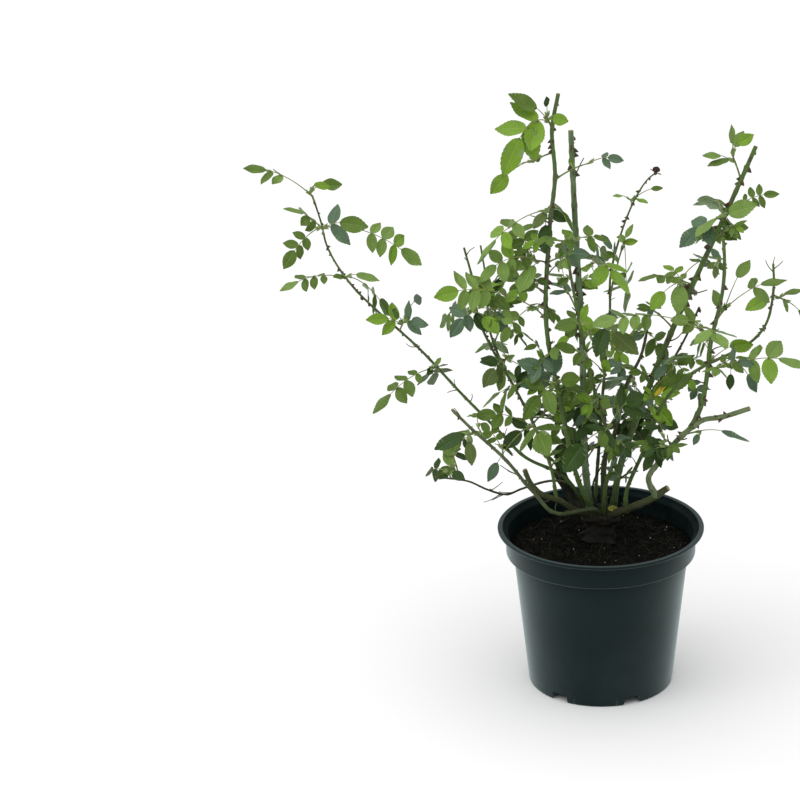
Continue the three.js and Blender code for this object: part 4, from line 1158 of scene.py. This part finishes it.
def cane_nodes(name):
    """Places along a cane, in metres, where it swells: the feet of its shoots and side canes, and
    every 30 mm or so between."""
    length = LINES[name].length
    fixed = [share for cane, share, *_ in SHOOTS.values() if cane == name]
    fixed += [cane["foot"][1] for cane in CANES.values() if cane.get("foot", ("",))[0] == name]
    even = np.arange(NODES["first"], length - NODES["short_of_tip"], NODES["spacing"])
    even = even + name_rng(name).uniform(-NODES["sway"], NODES["sway"], len(even))
    return np.sort(np.concatenate([np.array(fixed) * length, even]))


def closed_end(path, radius, way, kind):
    """A path and its radii, carried on past their end to close it in that way."""
    ahead, shrink = (np.array(values) for values in ENDS[kind])
    return np.vstack([path, path[-1] + ahead[:, None] * way]), np.concatenate([radius, radius[-1] * shrink])


def lumpy(path, radii, sides, strength, low, high, seed, waves=26, spread=0.012):
    """A carried tube whose skin is uneven: each radius times 1 + strength times the unevenness, which
    is read at points that stand off the path by spread."""
    cosine, sine = circle(sides)
    around = path[:, None, :] + spread * np.stack([cosine, sine, 0 * sine], -1)[None]
    relief = 1 + strength * uneven(around, waves, low, high, seed)
    return carried(path[None], (radii[:, None] * relief)[None], sides)


def cane_surface(name, sizes):
    """A cane's bark: a round tapering tube with a swelling of a bell's shape at each node, a slow
    unevenness, a flared foot, and a tip that is cut flat or rounded off."""
    cane, line = CANES[name], LINES[name]
    stations = max(20, int(line.length / sizes.station))
    share = np.linspace(0.0, 1.0, stations)
    run = share * line.length
    bells = np.exp(-((run[:, None] - cane_nodes(name)) / NODES["width"]) ** 2)
    foot = flare(run, *CANE_FEET["cane" if "foot" in cane else "crown"])
    radius = radius_along(cane, share) * (1 + (NODES["swell"] * bells).sum(axis=1) + foot)
    is_cut = cane["tip"] == "cut"
    path, radius = closed_end(line.at(share), radius, line.way(1.0), "cut" if is_cut else "round")
    points, faces, station = lumpy(path, radius, sizes.sides, seed=sum(map(ord, name)), **BARK_LUMPS)
    kinds = [np.select([s > stations, s == stations], [2, 1], 0) * is_cut for s in station]
    return points, faces, kinds


def cane_thorns(sizes):
    """Prickles on every cane, at seeded places and turns, sparser on pale and old bark and small low
    down."""
    base, out, along, size = [], [], [], []
    for name, cane in CANES.items():
        line = LINES[name]
        rng = name_rng(name, 7)
        count = int(line.length / (sizes.prickle_spacing * PRICKLES["spacing"][cane["bark"]]))
        share = np.sort(rng.uniform(*PRICKLES["stretch"], count))
        spot, way, girth = line.at(share), line.way(share), mix(*cane["girth"], share)
        outward = strayed(way, rng)
        base.append(spot + outward * radius_along(cane, share)[:, None] * PRICKLES["sunk"])
        out.append(outward)
        along.append(way)
        stout = np.clip(girth / PRICKLES["stout_girth"], PRICKLES["slender"], 1.0)
        stout = stout * mix(PRICKLES["low_size"], 1, ease(*PRICKLES["low"], spot[:, 2]))
        size.append(sizes.prickle_height * stout * rng.uniform(*PRICKLES["size"], count))
    return thorns(*(np.concatenate(part) for part in (base, out, along, size)))


def bare_twigs():
    """Dead twigs: those of the table, and seeded ones on the lower part of every cane. Each is a bowed
    tube that tapers to two thirds of its girth at a blunt end."""
    k = TWIGS
    plans = [(cane, share, heading(turn, rise), length * MM) for cane, share, turn, rise, length in BARE]
    rng = np.random.default_rng(k["seed"])
    for name, line in LINES.items():
        for share in rng.uniform(*k["stretch"], int(line.length / k["spacing"])):
            way = line.way(share)
            aside = strayed(way, rng)
            ahead = unit(way * rng.uniform(*k["forward"]) + aside)
            plans.append((name, share, ahead, rng.uniform(*k["length"])))
    paths, radii = [], []
    u = np.linspace(0, 1, 10)
    for cane, share, way, length in plans:
        bow = strayed(way, rng) * rng.uniform(*k["bow"]) * length
        paths.append(LINES[cane].at(share) + u[:, None] * way * length + np.sin(np.pi * u)[:, None] * bow)
        girth = np.clip(mix(*CANES[cane]["girth"], share) * k["cane_share"], *k["girth"])
        girth = girth * rng.uniform(*k["thinned"]) * MM
        radii.append(girth / 2 * (1 - k["taper"] * u) * (1 + flare(u, *k["foot"])))
    return carried(np.array(paths), np.array(radii), 7)


def cane_buds():
    """Dormant buds above the nodes: short cones that lie against the cane and point up it."""
    base, out, along, size = [], [], [], []
    for name, cane in CANES.items():
        line = LINES[name]
        share = (cane_nodes(name) + BUDS["above_node"]) / line.length
        share = share[share < BUDS["last"]]
        way = line.way(share)
        outward = square_to(way, (0.3, 1.0, 0.1), np.arange(len(share)) * math.radians(BUDS["turn"]))
        radius = radius_along(cane, share)[:, None]
        base.append(line.at(share) + outward * radius * BUDS["sunk"])
        out.append(unit(outward + BUDS["lean"] * way))
        along.append(unit(BUDS["lean"] * outward - way))
        size.append(BUDS["size"] + BUDS["size_by_radius"] * radius[:, 0])
    return thorns(*(np.concatenate(part) for part in (base, out, along, size)), rings=6)


def joined(parts):
    """Several (points, faces, kinds) as one."""
    points, faces, kinds, start = [], [], [], 0
    for part_points, part_faces, part_kinds in parts:
        points.append(part_points)
        faces.extend(f + start for f in part_faces)
        kinds.extend(part_kinds)
        start += len(part_points)
    return np.vstack(points), faces, kinds


def crown_surfaces():
    """The graft union: a lumpy knob on a ridged neck, a sawn stump behind and a dry twig in front.
    Its kinds are 0 on the knob, 1 on the stump and twig, 2 on their ends and 3 on the neck."""
    centre, size = np.array(CROWN["centre"]) * MM, np.array(CROWN["radii"]) * MM
    v = np.linspace(0.02, 0.98, 36)
    path = centre + np.stack([0 * v, 0 * v, -np.cos(np.pi * v) * size[2]], -1)
    points, faces, station = lumpy(path, np.sin(np.pi * v) ** 0.8 * size[0], 48, strength=0.2, low=0.007,
                                   high=0.03, seed=3)
    parts = [(points, faces, [s * 0 for s in station])]
    share = np.linspace(0, 1, 30)
    line = through(np.array(NECK["points"], float) * MM)
    radii = radius_along(NECK, share) * (1 + flare(share * line.length, 0.35, 0.006))
    points, faces, station = lumpy(line.at(share), radii, 44, strength=0.2, low=0.006, high=0.02, seed=4)
    parts.append((points, faces, [s * 0 + 3 for s in station]))
    share = np.linspace(0, 1, 50)
    for plan, sides, seed in ((STUMP, 22, 5), (DRY_TWIG, 10, 6)):
        line = through(np.array(plan["points"], float) * MM)
        radii = radius_along(plan, share) * (1 + flare(share * line.length, 0.3, 0.01))
        path, radii = closed_end(line.at(share), radii, line.way(1.0), "sawn")
        points, faces, station = lumpy(path, radii, sides, strength=0.12, low=0.006, high=0.03, seed=seed)
        parts.append((points, faces, [np.where(s >= len(share), 2, 1) for s in station]))
    return joined(parts)


def bud_surfaces():
    """The withered bud: a small hip, a creased drop of dried petals, and sepals folded over it. The
    creases are two waves round the bud that drift with its height."""
    line = LINES["cane_bud"]
    tip, axis = line.at(1.0), unit(line.way(1.0) * 0.4 + UP)
    height, radius = np.array(BUD_OUTLINE).T
    fine = np.linspace(height[0], height[-1], 34)
    radius = np.interp(fine, height, radius)
    angle, up = 2 * np.pi * np.arange(30)[None] / 30, fine[:, None]
    crease = 0.13 * np.sin(5 * angle + 260 * up) + 0.09 * np.sin(11 * angle - 420 * up)
    crease = 1 + crease * ease(0.001, 0.003, fine)[:, None]
    points, faces, station = carried((tip + up * axis)[None], (radius[:, None] * crease)[None], 30)
    parts = [(points, faces, [np.where(s < 12, 1, 0) for s in station])]
    lean, rise, length = np.array(SEPALS).T
    outward = square_to(axis, (0.0, 1.0, 0.0), np.arange(len(length)) * 2 * np.pi / len(length))
    base = tip + axis * 0.0012 + outward * 0.0018
    out = unit(outward * lean[:, None] + axis * rise[:, None])
    flat = np.full(len(length), 0.1)
    points, faces, under, _, _ = leaf_blades(
        base, out, unit(axis - outward * 0.3), length, breadth=np.full(len(length), 0.34), fold=flat,
        curl=flat * 2, twist=flat * 0, ripple=flat, teeth=3, thickness=0.0004)
    parts.append((points, [faces], [under * 0 + 1]))
    return joined(parts)


UPPER = ("bright", "light", "mid", "deep", "olive", "yellow", "blue")
# The screen colour of each leaf colour's veins
VEINS = {"bright": (150, 186, 88), "light": (146, 178, 108), "mid": (122, 154, 84), "deep": (82, 112, 62),
         "olive": (120, 134, 84), "yellow": (206, 196, 90), "blue": (134, 160, 138)}
# The colour that a few of a leaf's leaflets take instead
NEAR = {"bright": "light", "light": "bright", "mid": "light", "deep": "mid", "olive": "deep",
        "yellow": "bright", "blue": "mid"}
# The canes whose leaflets make up each of the three large pieces of foliage
SIDES = {
    "left": ("cane_tall_left", "cane_low_left", "twig_low_left", "cane_left_arch", "cane_left_upright",
             "cane_left_twin"),
    "middle": ("cane_thick_left", "cane_front", "cane_bud", "cane_bare_middle"),
    "right": ("cane_leaning_right", "cane_right", "cane_up_right", "branch_cut_right", "branch_dark_right"),
}
# Leaf colours of the spurs, dealt out in turn: shaded ones low in the bush, and lit ones above
SPUR_TINTS = {"low": ("deep", "mid", "deep", "blue", "mid", "deep"),
              "high": ("mid", "light", "blue", "mid", "bright")}
SHADED_BELOW = 0.33  # metres above the floor


def leaf_tint(name, order, foot, chance):
    """The colour of one leaflet: its leaf's, or for one in seven the colour nearest to that.
    Half the leaflets of a fading leaf are still green."""
    if name in SHOOTS:
        tints = SHOOTS[name][3].split()
        tint = tints[min(order, len(tints) - 1)]
    else:
        tints = SPUR_TINTS["low" if foot[2] < SHADED_BELOW else "high"]
        tint = tints[(int(name.split("_")[-1]) + order) % len(tints)]
    return NEAR[tint] if chance < (0.5 if tint == "yellow" else 0.14) else tint


def leaf_surfaces(names, grown, sizes):
    """All leaflets of some shoots as one set of blades, each with its own lean, fold, curl and twist."""
    rows, upper, lower = [], [], []
    for name in names:
        rng = name_rng(name)
        for order, leaf in enumerate(grown[name]["leaves"]):
            for base, out, normal, length in leaf["leaflets"]:
                tint = leaf_tint(name, order, base, rng.random())
                rows.append(np.concatenate([base, out, normal, [length], rng.random(6)]))
                upper.append(UPPER.index(tint))
                # Deep leaflets get the darker copy of the underside, a painted shade
                lower.append({"deep": len(UPPER) + 1, "yellow": UPPER.index("yellow")}.get(tint, len(UPPER)))
    base, out, normal, length, r = np.split(np.array(rows), [3, 6, 9, 10], axis=1)
    lean = np.radians(sizes.lean) * (2 * r[:, 5:6] - 1)
    normal = normal * np.cos(lean) + np.cross(out, normal) * np.sin(lean)

    def varied(key, chance):
        least, more = VARIETY[key]
        return least + more * chance

    points, faces, is_under, place, line = leaf_blades(
        base, out, normal, length[:, 0], breadth=sizes.breadth * varied("breadth", r[:, 0]),
        fold=sizes.fold * varied("fold", r[:, 1]), curl=varied("curl", r[:, 2] ** 2),
        twist=VARIETY["twist"] * (r[:, 3] - 0.5), ripple=r[:, 4], teeth=sizes.teeth,
        thickness=sizes.thickness)
    each = len(faces) // len(rows)
    kinds = np.where(is_under == 0, np.repeat(upper, each), np.repeat(lower, each))
    return points, [faces], [kinds], place, line


def stipule_surfaces(grown):
    """Two narrow wings at the foot of every leaf stalk, pointing along it and a little apart."""
    base, out, normal = [], [], []
    for shoot in grown.values():
        for leaf in shoot["leaves"]:
            way = unit(leaf["stalk"][2] - leaf["stalk"][0])
            left = np.cross(leaf["foot_normal"], way)
            for hand in (1, -1):
                base.append(leaf["stalk"][0] + hand * left * STIPULE["aside"])
                out.append(unit(way + hand * STIPULE["spread"] * left))
                normal.append(leaf["foot_normal"])
    count = len(base)
    rng = np.random.default_rng(90)
    flat = np.zeros(count)
    points, faces, _, _, line = leaf_blades(
        np.array(base), np.array(out), np.array(normal),
        STIPULE["shortest"] + STIPULE["longer"] * rng.random(count), breadth=flat + STIPULE["breadth"],
        fold=flat + STIPULE["fold"], curl=flat + STIPULE["curl"], twist=flat, ripple=rng.random(count),
        teeth=2, thickness=0.0003)
    return points, [faces], line


def stalk_surfaces(grown, sides=6):
    """Every leaf stalk: a thin tube that thickens where it leaves the stem."""
    paths = np.array([leaf["stalk"] for shoot in grown.values() for leaf in shoot["leaves"]])
    share = np.linspace(0, 1, paths.shape[1])
    radii = radius_along(STALK, share) * (1 + flare(share, *STALK["foot"]))
    return carried(paths, np.tile(radii, (len(paths), 1)), sides)


def stem_surfaces(grown, sides=8):
    """Every shoot's green stem, flared where it leaves its cane and swollen where leaves leave it."""
    share = np.linspace(0, 1, 30)
    paths = np.array([shoot["line"].at(share) for shoot in grown.values()])
    swell, width = STEM["knot"]
    radii = []
    for shoot in grown.values():
        count = len(shoot["leaves"])
        places = np.linspace(*STEM["leafy"], count) if count > 1 else np.array(STEM["leafy"][1:])
        knots = (swell * np.exp(-((share[:, None] - places) / width) ** 2)).sum(axis=1)
        radii.append(radius_along(STEM, share) * (1 + knots + flare(share, *STEM["foot"])))
    return carried(paths, np.array(radii), sides)


def fibre_surfaces(count, seed=21):
    """Loose fibres on the compost: thin tubes, each bent by a bow of 1 - share squared, that follow its
    height and lift off it in the middle."""
    k, rng = FIBRES, np.random.default_rng(seed)
    share = np.linspace(-1, 1, 9)
    bend = 1 - share**2
    r, turn = k["reach"] * np.sqrt(rng.random(count)), rng.random(count) * 2 * np.pi
    middle = np.stack([r * np.cos(turn), r * np.sin(turn)], -1)
    way = rng.random(count) * 2 * np.pi
    half, bow = rng.uniform(*k["half_length"], count), rng.uniform(*k["bow"], count)
    along, side = np.stack([np.cos(way), np.sin(way)], -1), np.stack([-np.sin(way), np.cos(way)], -1)
    flat = (middle[:, None] + share[None, :, None] * half[:, None, None] * along[:, None]
            + bend[None, :, None] * bow[:, None, None] * side[:, None])
    away = np.hypot(flat[..., 0], flat[..., 1])
    flat *= np.minimum(1, SOIL["shoulder_radius"] / np.maximum(away, 1))[..., None]
    height = soil_height(flat[..., 0], flat[..., 1]) + k["above"] + k["lift"] * rng.random((count, 1)) * bend
    paths = np.concatenate([flat, height[..., None]], axis=-1) * MM
    radii = np.tile(rng.uniform(*k["radius"], (count, 1)), (1, len(share))) * MM
    return carried(paths, radii, 5)


def on_compost(count, seed, reach=104.0):
    """Seeded places on the compost, in metres."""
    rng = np.random.default_rng(seed)
    r, turn = reach * np.sqrt(rng.uniform(0, 1, count)), rng.random(count) * 2 * np.pi
    x, y = r * np.cos(turn), r * np.sin(turn)
    return np.stack([x, y, soil_height(x, y) + 0.2], -1) * MM


def fallen_surfaces(sizes):
    """Two small faded leaflets that have fallen on the crown."""
    base = np.array([[8, 8, 211], [12, 9, 210]]) * MM
    out = unit(np.array([[1, -0.1, 0.15], [0.7, -0.4, -0.3]]))
    normal = unit(np.array([[-0.1, -0.6, 0.8], [0.2, -0.7, 0.6]]))
    flat = np.full(2, 0.1)
    points, faces, _, place, line = leaf_blades(
        base, out, normal, np.array([0.012, 0.01]), breadth=flat + 0.5, fold=flat, curl=flat, twist=flat * 3,
        ripple=flat, teeth=5, thickness=sizes.thickness)
    return points, [faces], place, line


def floor_mesh():
    """A flat disc of rings that grow wider outwards, far past the camera's view."""
    reach = np.array([0.02, 0.3, 0.8, 2.0, 5.0, 12.0, 30.0, 90.0, 250.0])
    cosine, sine = circle(96)
    rings = np.stack([reach[:, None] * cosine, reach[:, None] * sine, np.zeros((len(reach), len(sine)))], -1)
    quads = ring_quads(len(reach), len(sine)).reshape(-1, 4)[:, [0, 3, 2, 1]]
    middle = ring_fan(0, len(sine), len(reach) * len(sine), True)
    mesh = bpy.data.meshes.new("floor")
    mesh.from_pydata(np.vstack([rings.reshape(-1, 3), [[0, 0, 0]]]).tolist(), [],
                     quads.tolist() + middle.tolist())
    return mesh


def soft_light(name, spot, aim, size, power):
    """A square area light at spot that faces aim."""
    light = bpy.data.lights.new(name, "AREA")
    light.shape, light.size, light.energy = "SQUARE", size, power
    placed(name, light, spot, Vector(aim) - Vector(spot))


# Operators

def small_piece(name, surface, slot, skin, **more):
    """A piece with one plain skin, from the points and faces that a surface starts with."""
    finish_piece(name, *surface[:2], [plain_skin(*skin)], slot, **more)


class Builder:
    """Common ground of the operators that follow."""
    bl_options = {"REGISTER", "UNDO"}


class ROSE_OT_pot(Builder, bpy.types.Operator):
    """Turn the pot with its rim, collar and notched foot"""
    bl_idname = "rose.pot"
    bl_label = "Pot"

    def execute(self, context):
        sizes = context.scene.rose_pot
        points, faces, kinds = pot_surface(sizes)
        looks = [pot_plastic(tuple(sizes.color), sizes.rough), pot_lining(tuple(sizes.color))]
        finish_piece("nursery_pot", points, faces, looks, "pot", ["pot"], kinds)
        return {"FINISHED"}


class ROSE_OT_soil(Builder, bpy.types.Operator):
    """Fill the pot with uneven compost and strew crumbs, fibres and grains on it"""
    bl_idname = "rose.soil"
    bl_label = "Compost"

    def execute(self, context):
        sizes = context.scene.rose_soil
        dark, pale = tuple(sizes.dark), tuple(sizes.pale)
        points, faces = soil_surface()
        finish_piece("compost", points, faces, [compost("compost_damp", dark, pale)], "soil", ["soil"])
        rng = np.random.default_rng(12)
        centres = on_compost(sizes.crumbs, 13)
        half = rng.uniform(0.5, 2.3, (sizes.crumbs, 1)) * np.array([1.0, 0.7, 0.45]) * MM
        points, faces = crumbs(centres, half, 14)
        kinds = np.repeat(rng.choice(3, sizes.crumbs, p=[0.55, 0.33, 0.12]), 8)
        looks = [compost("crumb_dark", dark, pale), compost("crumb_brown", shade(dark, 1.7), pale),
                 compost("crumb_bark", pale, shade(pale, 1.5))]
        finish_piece("compost_crumbs", points, [faces], looks, "soil", kinds=[kinds])
        small_piece("compost_fibres", fibre_surfaces(sizes.fibres), "soil",
                    ("fibre", srgb(54, 47, 37), srgb(30, 27, 22), 0.8))
        centres = on_compost(sizes.perlite, 15, 96)
        half = rng.uniform(0.5, 1.1, (sizes.perlite, 1)) * np.ones(3) * MM
        points, faces = crumbs(centres + UP * 0.0009, half, 16)
        small_piece("compost_grains", (points, [faces]), "soil",
                    ("perlite", srgb(196, 192, 182), srgb(150, 145, 132), 0.8))
        return {"FINISHED"}


class ROSE_OT_crown(Builder, bpy.types.Operator):
    """Shape the graft union, its neck, the sawn stump and the dry twig"""
    bl_idname = "rose.crown"
    bl_label = "Crown"

    def execute(self, context):
        points, faces, kinds = crown_surfaces()
        looks = [rough_bark("crown_bark", srgb(24, 22, 16), srgb(50, 46, 34)),
                 rough_bark("stump_bark", srgb(20, 22, 16), srgb(44, 48, 35)),
                 cut_wood("stump_end", srgb(92, 76, 54), srgb(48, 38, 28)),
                 rough_bark("neck_bark", srgb(12, 12, 9), srgb(26, 24, 18))]
        finish_piece("graft_crown", points, faces, looks, "bark", ["crown"], kinds)
        return {"FINISHED"}


class ROSE_OT_canes(Builder, bpy.types.Operator):
    """Grow the canes with their nodes and pruned ends, and set prickles and buds on them"""
    bl_idname = "rose.canes"
    bl_label = "Canes"

    def execute(self, context):
        sizes = context.scene.rose_canes
        barks = {
            "green": rose_bark("bark_green", tuple(sizes.green), srgb(70, 84, 50), srgb(86, 58, 42)),
            "pale": rose_bark("bark_pale", tuple(sizes.pale), srgb(112, 126, 88), srgb(92, 74, 50)),
            "old": rose_bark("bark_old", tuple(sizes.old), srgb(66, 74, 42), srgb(112, 112, 92), 0.7),
            "dull": rose_bark("bark_dull", srgb(70, 82, 50), srgb(98, 112, 74), srgb(78, 60, 42)),
            "grey": rose_bark("bark_grey", srgb(84, 106, 66), srgb(112, 134, 98), srgb(80, 56, 40)),
        }
        ends = [cut_wood("pruned_rim", srgb(96, 84, 56), srgb(60, 46, 34)),
                cut_wood("pruned_pith", srgb(170, 150, 110), srgb(110, 88, 60))]
        for name, cane in CANES.items():
            points, faces, kinds = cane_surface(name, sizes)
            finish_piece(f"{name}_bark", points, faces, [barks[cane["bark"]], *ends], "cane", [name], kinds)
        small_piece("prickles", cane_thorns(sizes), "cane",
                    ("prickle_skin", tuple(sizes.prickle), srgb(78, 48, 32), 0.5))
        small_piece("bare_twigs", bare_twigs(), "cane",
                    ("twig_bark", srgb(62, 56, 36), srgb(88, 92, 58), 0.75))
        small_piece("dormant_buds", cane_buds(), "cane",
                    ("bud_scales", srgb(118, 74, 54), srgb(98, 96, 56), 0.5))
        return {"FINISHED"}


class ROSE_OT_bud(Builder, bpy.types.Operator):
    """Close the one withered bud on its cane"""
    bl_idname = "rose.bud"
    bl_label = "Withered bud"

    def execute(self, context):
        points, faces, kinds = bud_surfaces()
        looks = [plain_skin("dried_petals", srgb(58, 36, 36), srgb(30, 18, 18), 0.8, 420, 0.001),
                 plain_skin("dried_sepals", srgb(88, 74, 52), srgb(62, 38, 36), 0.75, 420, 0.0008)]
        finish_piece("withered_bud", points, faces, looks, "cane", kinds=kinds)
        return {"FINISHED"}


class ROSE_OT_leaves(Builder, bpy.types.Operator):
    """Grow every shoot by the seeded rule: stem, leaf stalks, stipules and toothed leaflets"""
    bl_idname = "rose.leaves"
    bl_label = "Shoots and leaves"

    def execute(self, context):
        sizes = context.scene.rose_leaves
        spurs = grow_spurs()
        grown = {**grow_shoots(), **spurs}
        under = tuple(sizes.under)
        looks = [leaf_skin(f"leaf_{tint}", tuple(getattr(sizes, tint)), srgb(*VEINS[tint])) for tint in UPPER]
        # The second underside is the first darkened to 0.6, a painted shade for deep leaflets
        looks += [leaf_skin("leaf_under", under, srgb(160, 182, 146), 0.6, 0.25, -0.00072),
                  leaf_skin("leaf_under_deep", shade(under, 0.6), srgb(120, 144, 112), 0.6, 0.25, -0.00072)]
        for side, canes in SIDES.items():
            shoots = [name for name, row in SHOOTS.items() if row[0] in canes]
            near = [name for name in spurs if name.split("_spur_")[0] in canes]
            points, faces, kinds, place, line = leaf_surfaces(shoots + near, grown, sizes)
            finish_piece(f"leaflets_{side}", points, faces, looks, "foliage", shoots, kinds, place, line)
        *surface, place, line = fallen_surfaces(sizes)
        small_piece("fallen_leaves", surface, "foliage",
                    ("faded_leaf", srgb(150, 142, 44), srgb(96, 108, 40)), uv=place, sharp=line)
        small_piece("leaf_stalks", stalk_surfaces(grown), "foliage",
                    ("stalk_skin", srgb(118, 142, 78), srgb(122, 104, 66), 0.5))
        small_piece("shoot_stems", stem_surfaces(grown), "foliage",
                    ("stem_skin", srgb(104, 130, 66), srgb(96, 84, 54), 0.5))
        *surface, line = stipule_surfaces(grown)
        small_piece("stipules", surface, "foliage",
                    ("stipule_skin", srgb(122, 152, 82), srgb(104, 120, 66)), sharp=line)
        return {"FINISHED"}


class ROSE_OT_stage(Builder, bpy.types.Operator):
    """Set the pale floor, the soft lights and the camera of the photograph"""
    bl_idname = "rose.stage"
    bl_label = "Stage"

    def execute(self, context):
        scene, look = context.scene, context.scene.rose_stage
        target = Vector((0.0, 0.0, scene.rose_pot.height))
        spot = target + Vector((0.0, -look.distance, look.distance * math.tan(math.radians(look.elevation))))
        lens = bpy.data.cameras.new("photo_view")
        lens.sensor_width, lens.lens = 36.0, look.focal * 36.0 / PHOTO_WIDTH
        lens.clip_end = 300.0
        camera = placed("photo_view", lens, spot)
        right, down = (place - PHOTO_WIDTH / 2 for place in RIM_IN_PHOTO)
        aside = Vector((right, -down, -look.focal)).rotation_difference(Vector((0.0, 0.0, -1.0)))
        camera.rotation_euler = ((target - spot).to_track_quat("-Z", "Y") @ aside).to_euler()
        scene.camera = camera

        mesh = floor_mesh()
        mesh.materials.append(Finish("pale_floor", 0.75, tuple(look.floor), Specular_IOR_Level=0.1).material)
        floor = placed("floor", mesh)

        world = bpy.data.worlds.new("soft_room")
        world.use_nodes = True
        world.node_tree.nodes["Background"].inputs["Color"].default_value = (0.985, 0.99, 1.0, 1.0)
        world.node_tree.nodes["Background"].inputs["Strength"].default_value = look.sky
        scene.world = world
        scene.view_settings.view_transform = "Standard"
        sun = bpy.data.lights.new("key_light", "SUN")
        sun.energy, sun.angle = look.key, math.radians(100)
        placed("key_light", sun, facing=(0.08, 0.1, -1.0))
        soft_light("fill_light", (-2.4, -1.0, 1.5), (0, 0, 0.35), 1.4, look.fill)
        return {"FINISHED"}


class ROSE_PT_panel(bpy.types.Panel):
    """Sizes, colours and one button for each piece"""
    bl_idname = "ROSE_PT_panel"
    bl_label = "Potted rose"
    bl_space_type = "VIEW_3D"
    bl_region_type = "UI"
    bl_category = "Rose"

    def draw(self, context):
        for operator in OPERATORS:
            self.layout.operator(operator.bl_idname)
        for name, group in GROUPS.items():
            box = self.layout.box()
            box.label(text=group.__doc__)
            for key in group.__annotations__:
                box.prop(getattr(context.scene, name), key)


OPERATORS = (
    ROSE_OT_stage, ROSE_OT_pot, ROSE_OT_soil, ROSE_OT_crown, ROSE_OT_canes, ROSE_OT_bud, ROSE_OT_leaves,
)
CLASSES = (*GROUPS.values(), *OPERATORS, ROSE_PT_panel)


def register():
    for cls in CLASSES:
        bpy.utils.register_class(cls)
    for name, group in GROUPS.items():
        setattr(bpy.types.Scene, name, PointerProperty(type=group))


def unregister():
    for name in GROUPS:
        delattr(bpy.types.Scene, name)
    for cls in reversed(CLASSES):
        bpy.utils.unregister_class(cls)


def main():
    """Registers the add-on and builds every piece in order."""
    register()
    for operator in OPERATORS:
        group, name = operator.bl_idname.split(".")
        getattr(getattr(bpy.ops, group), name)()


if __name__ == "__main__":
    main()
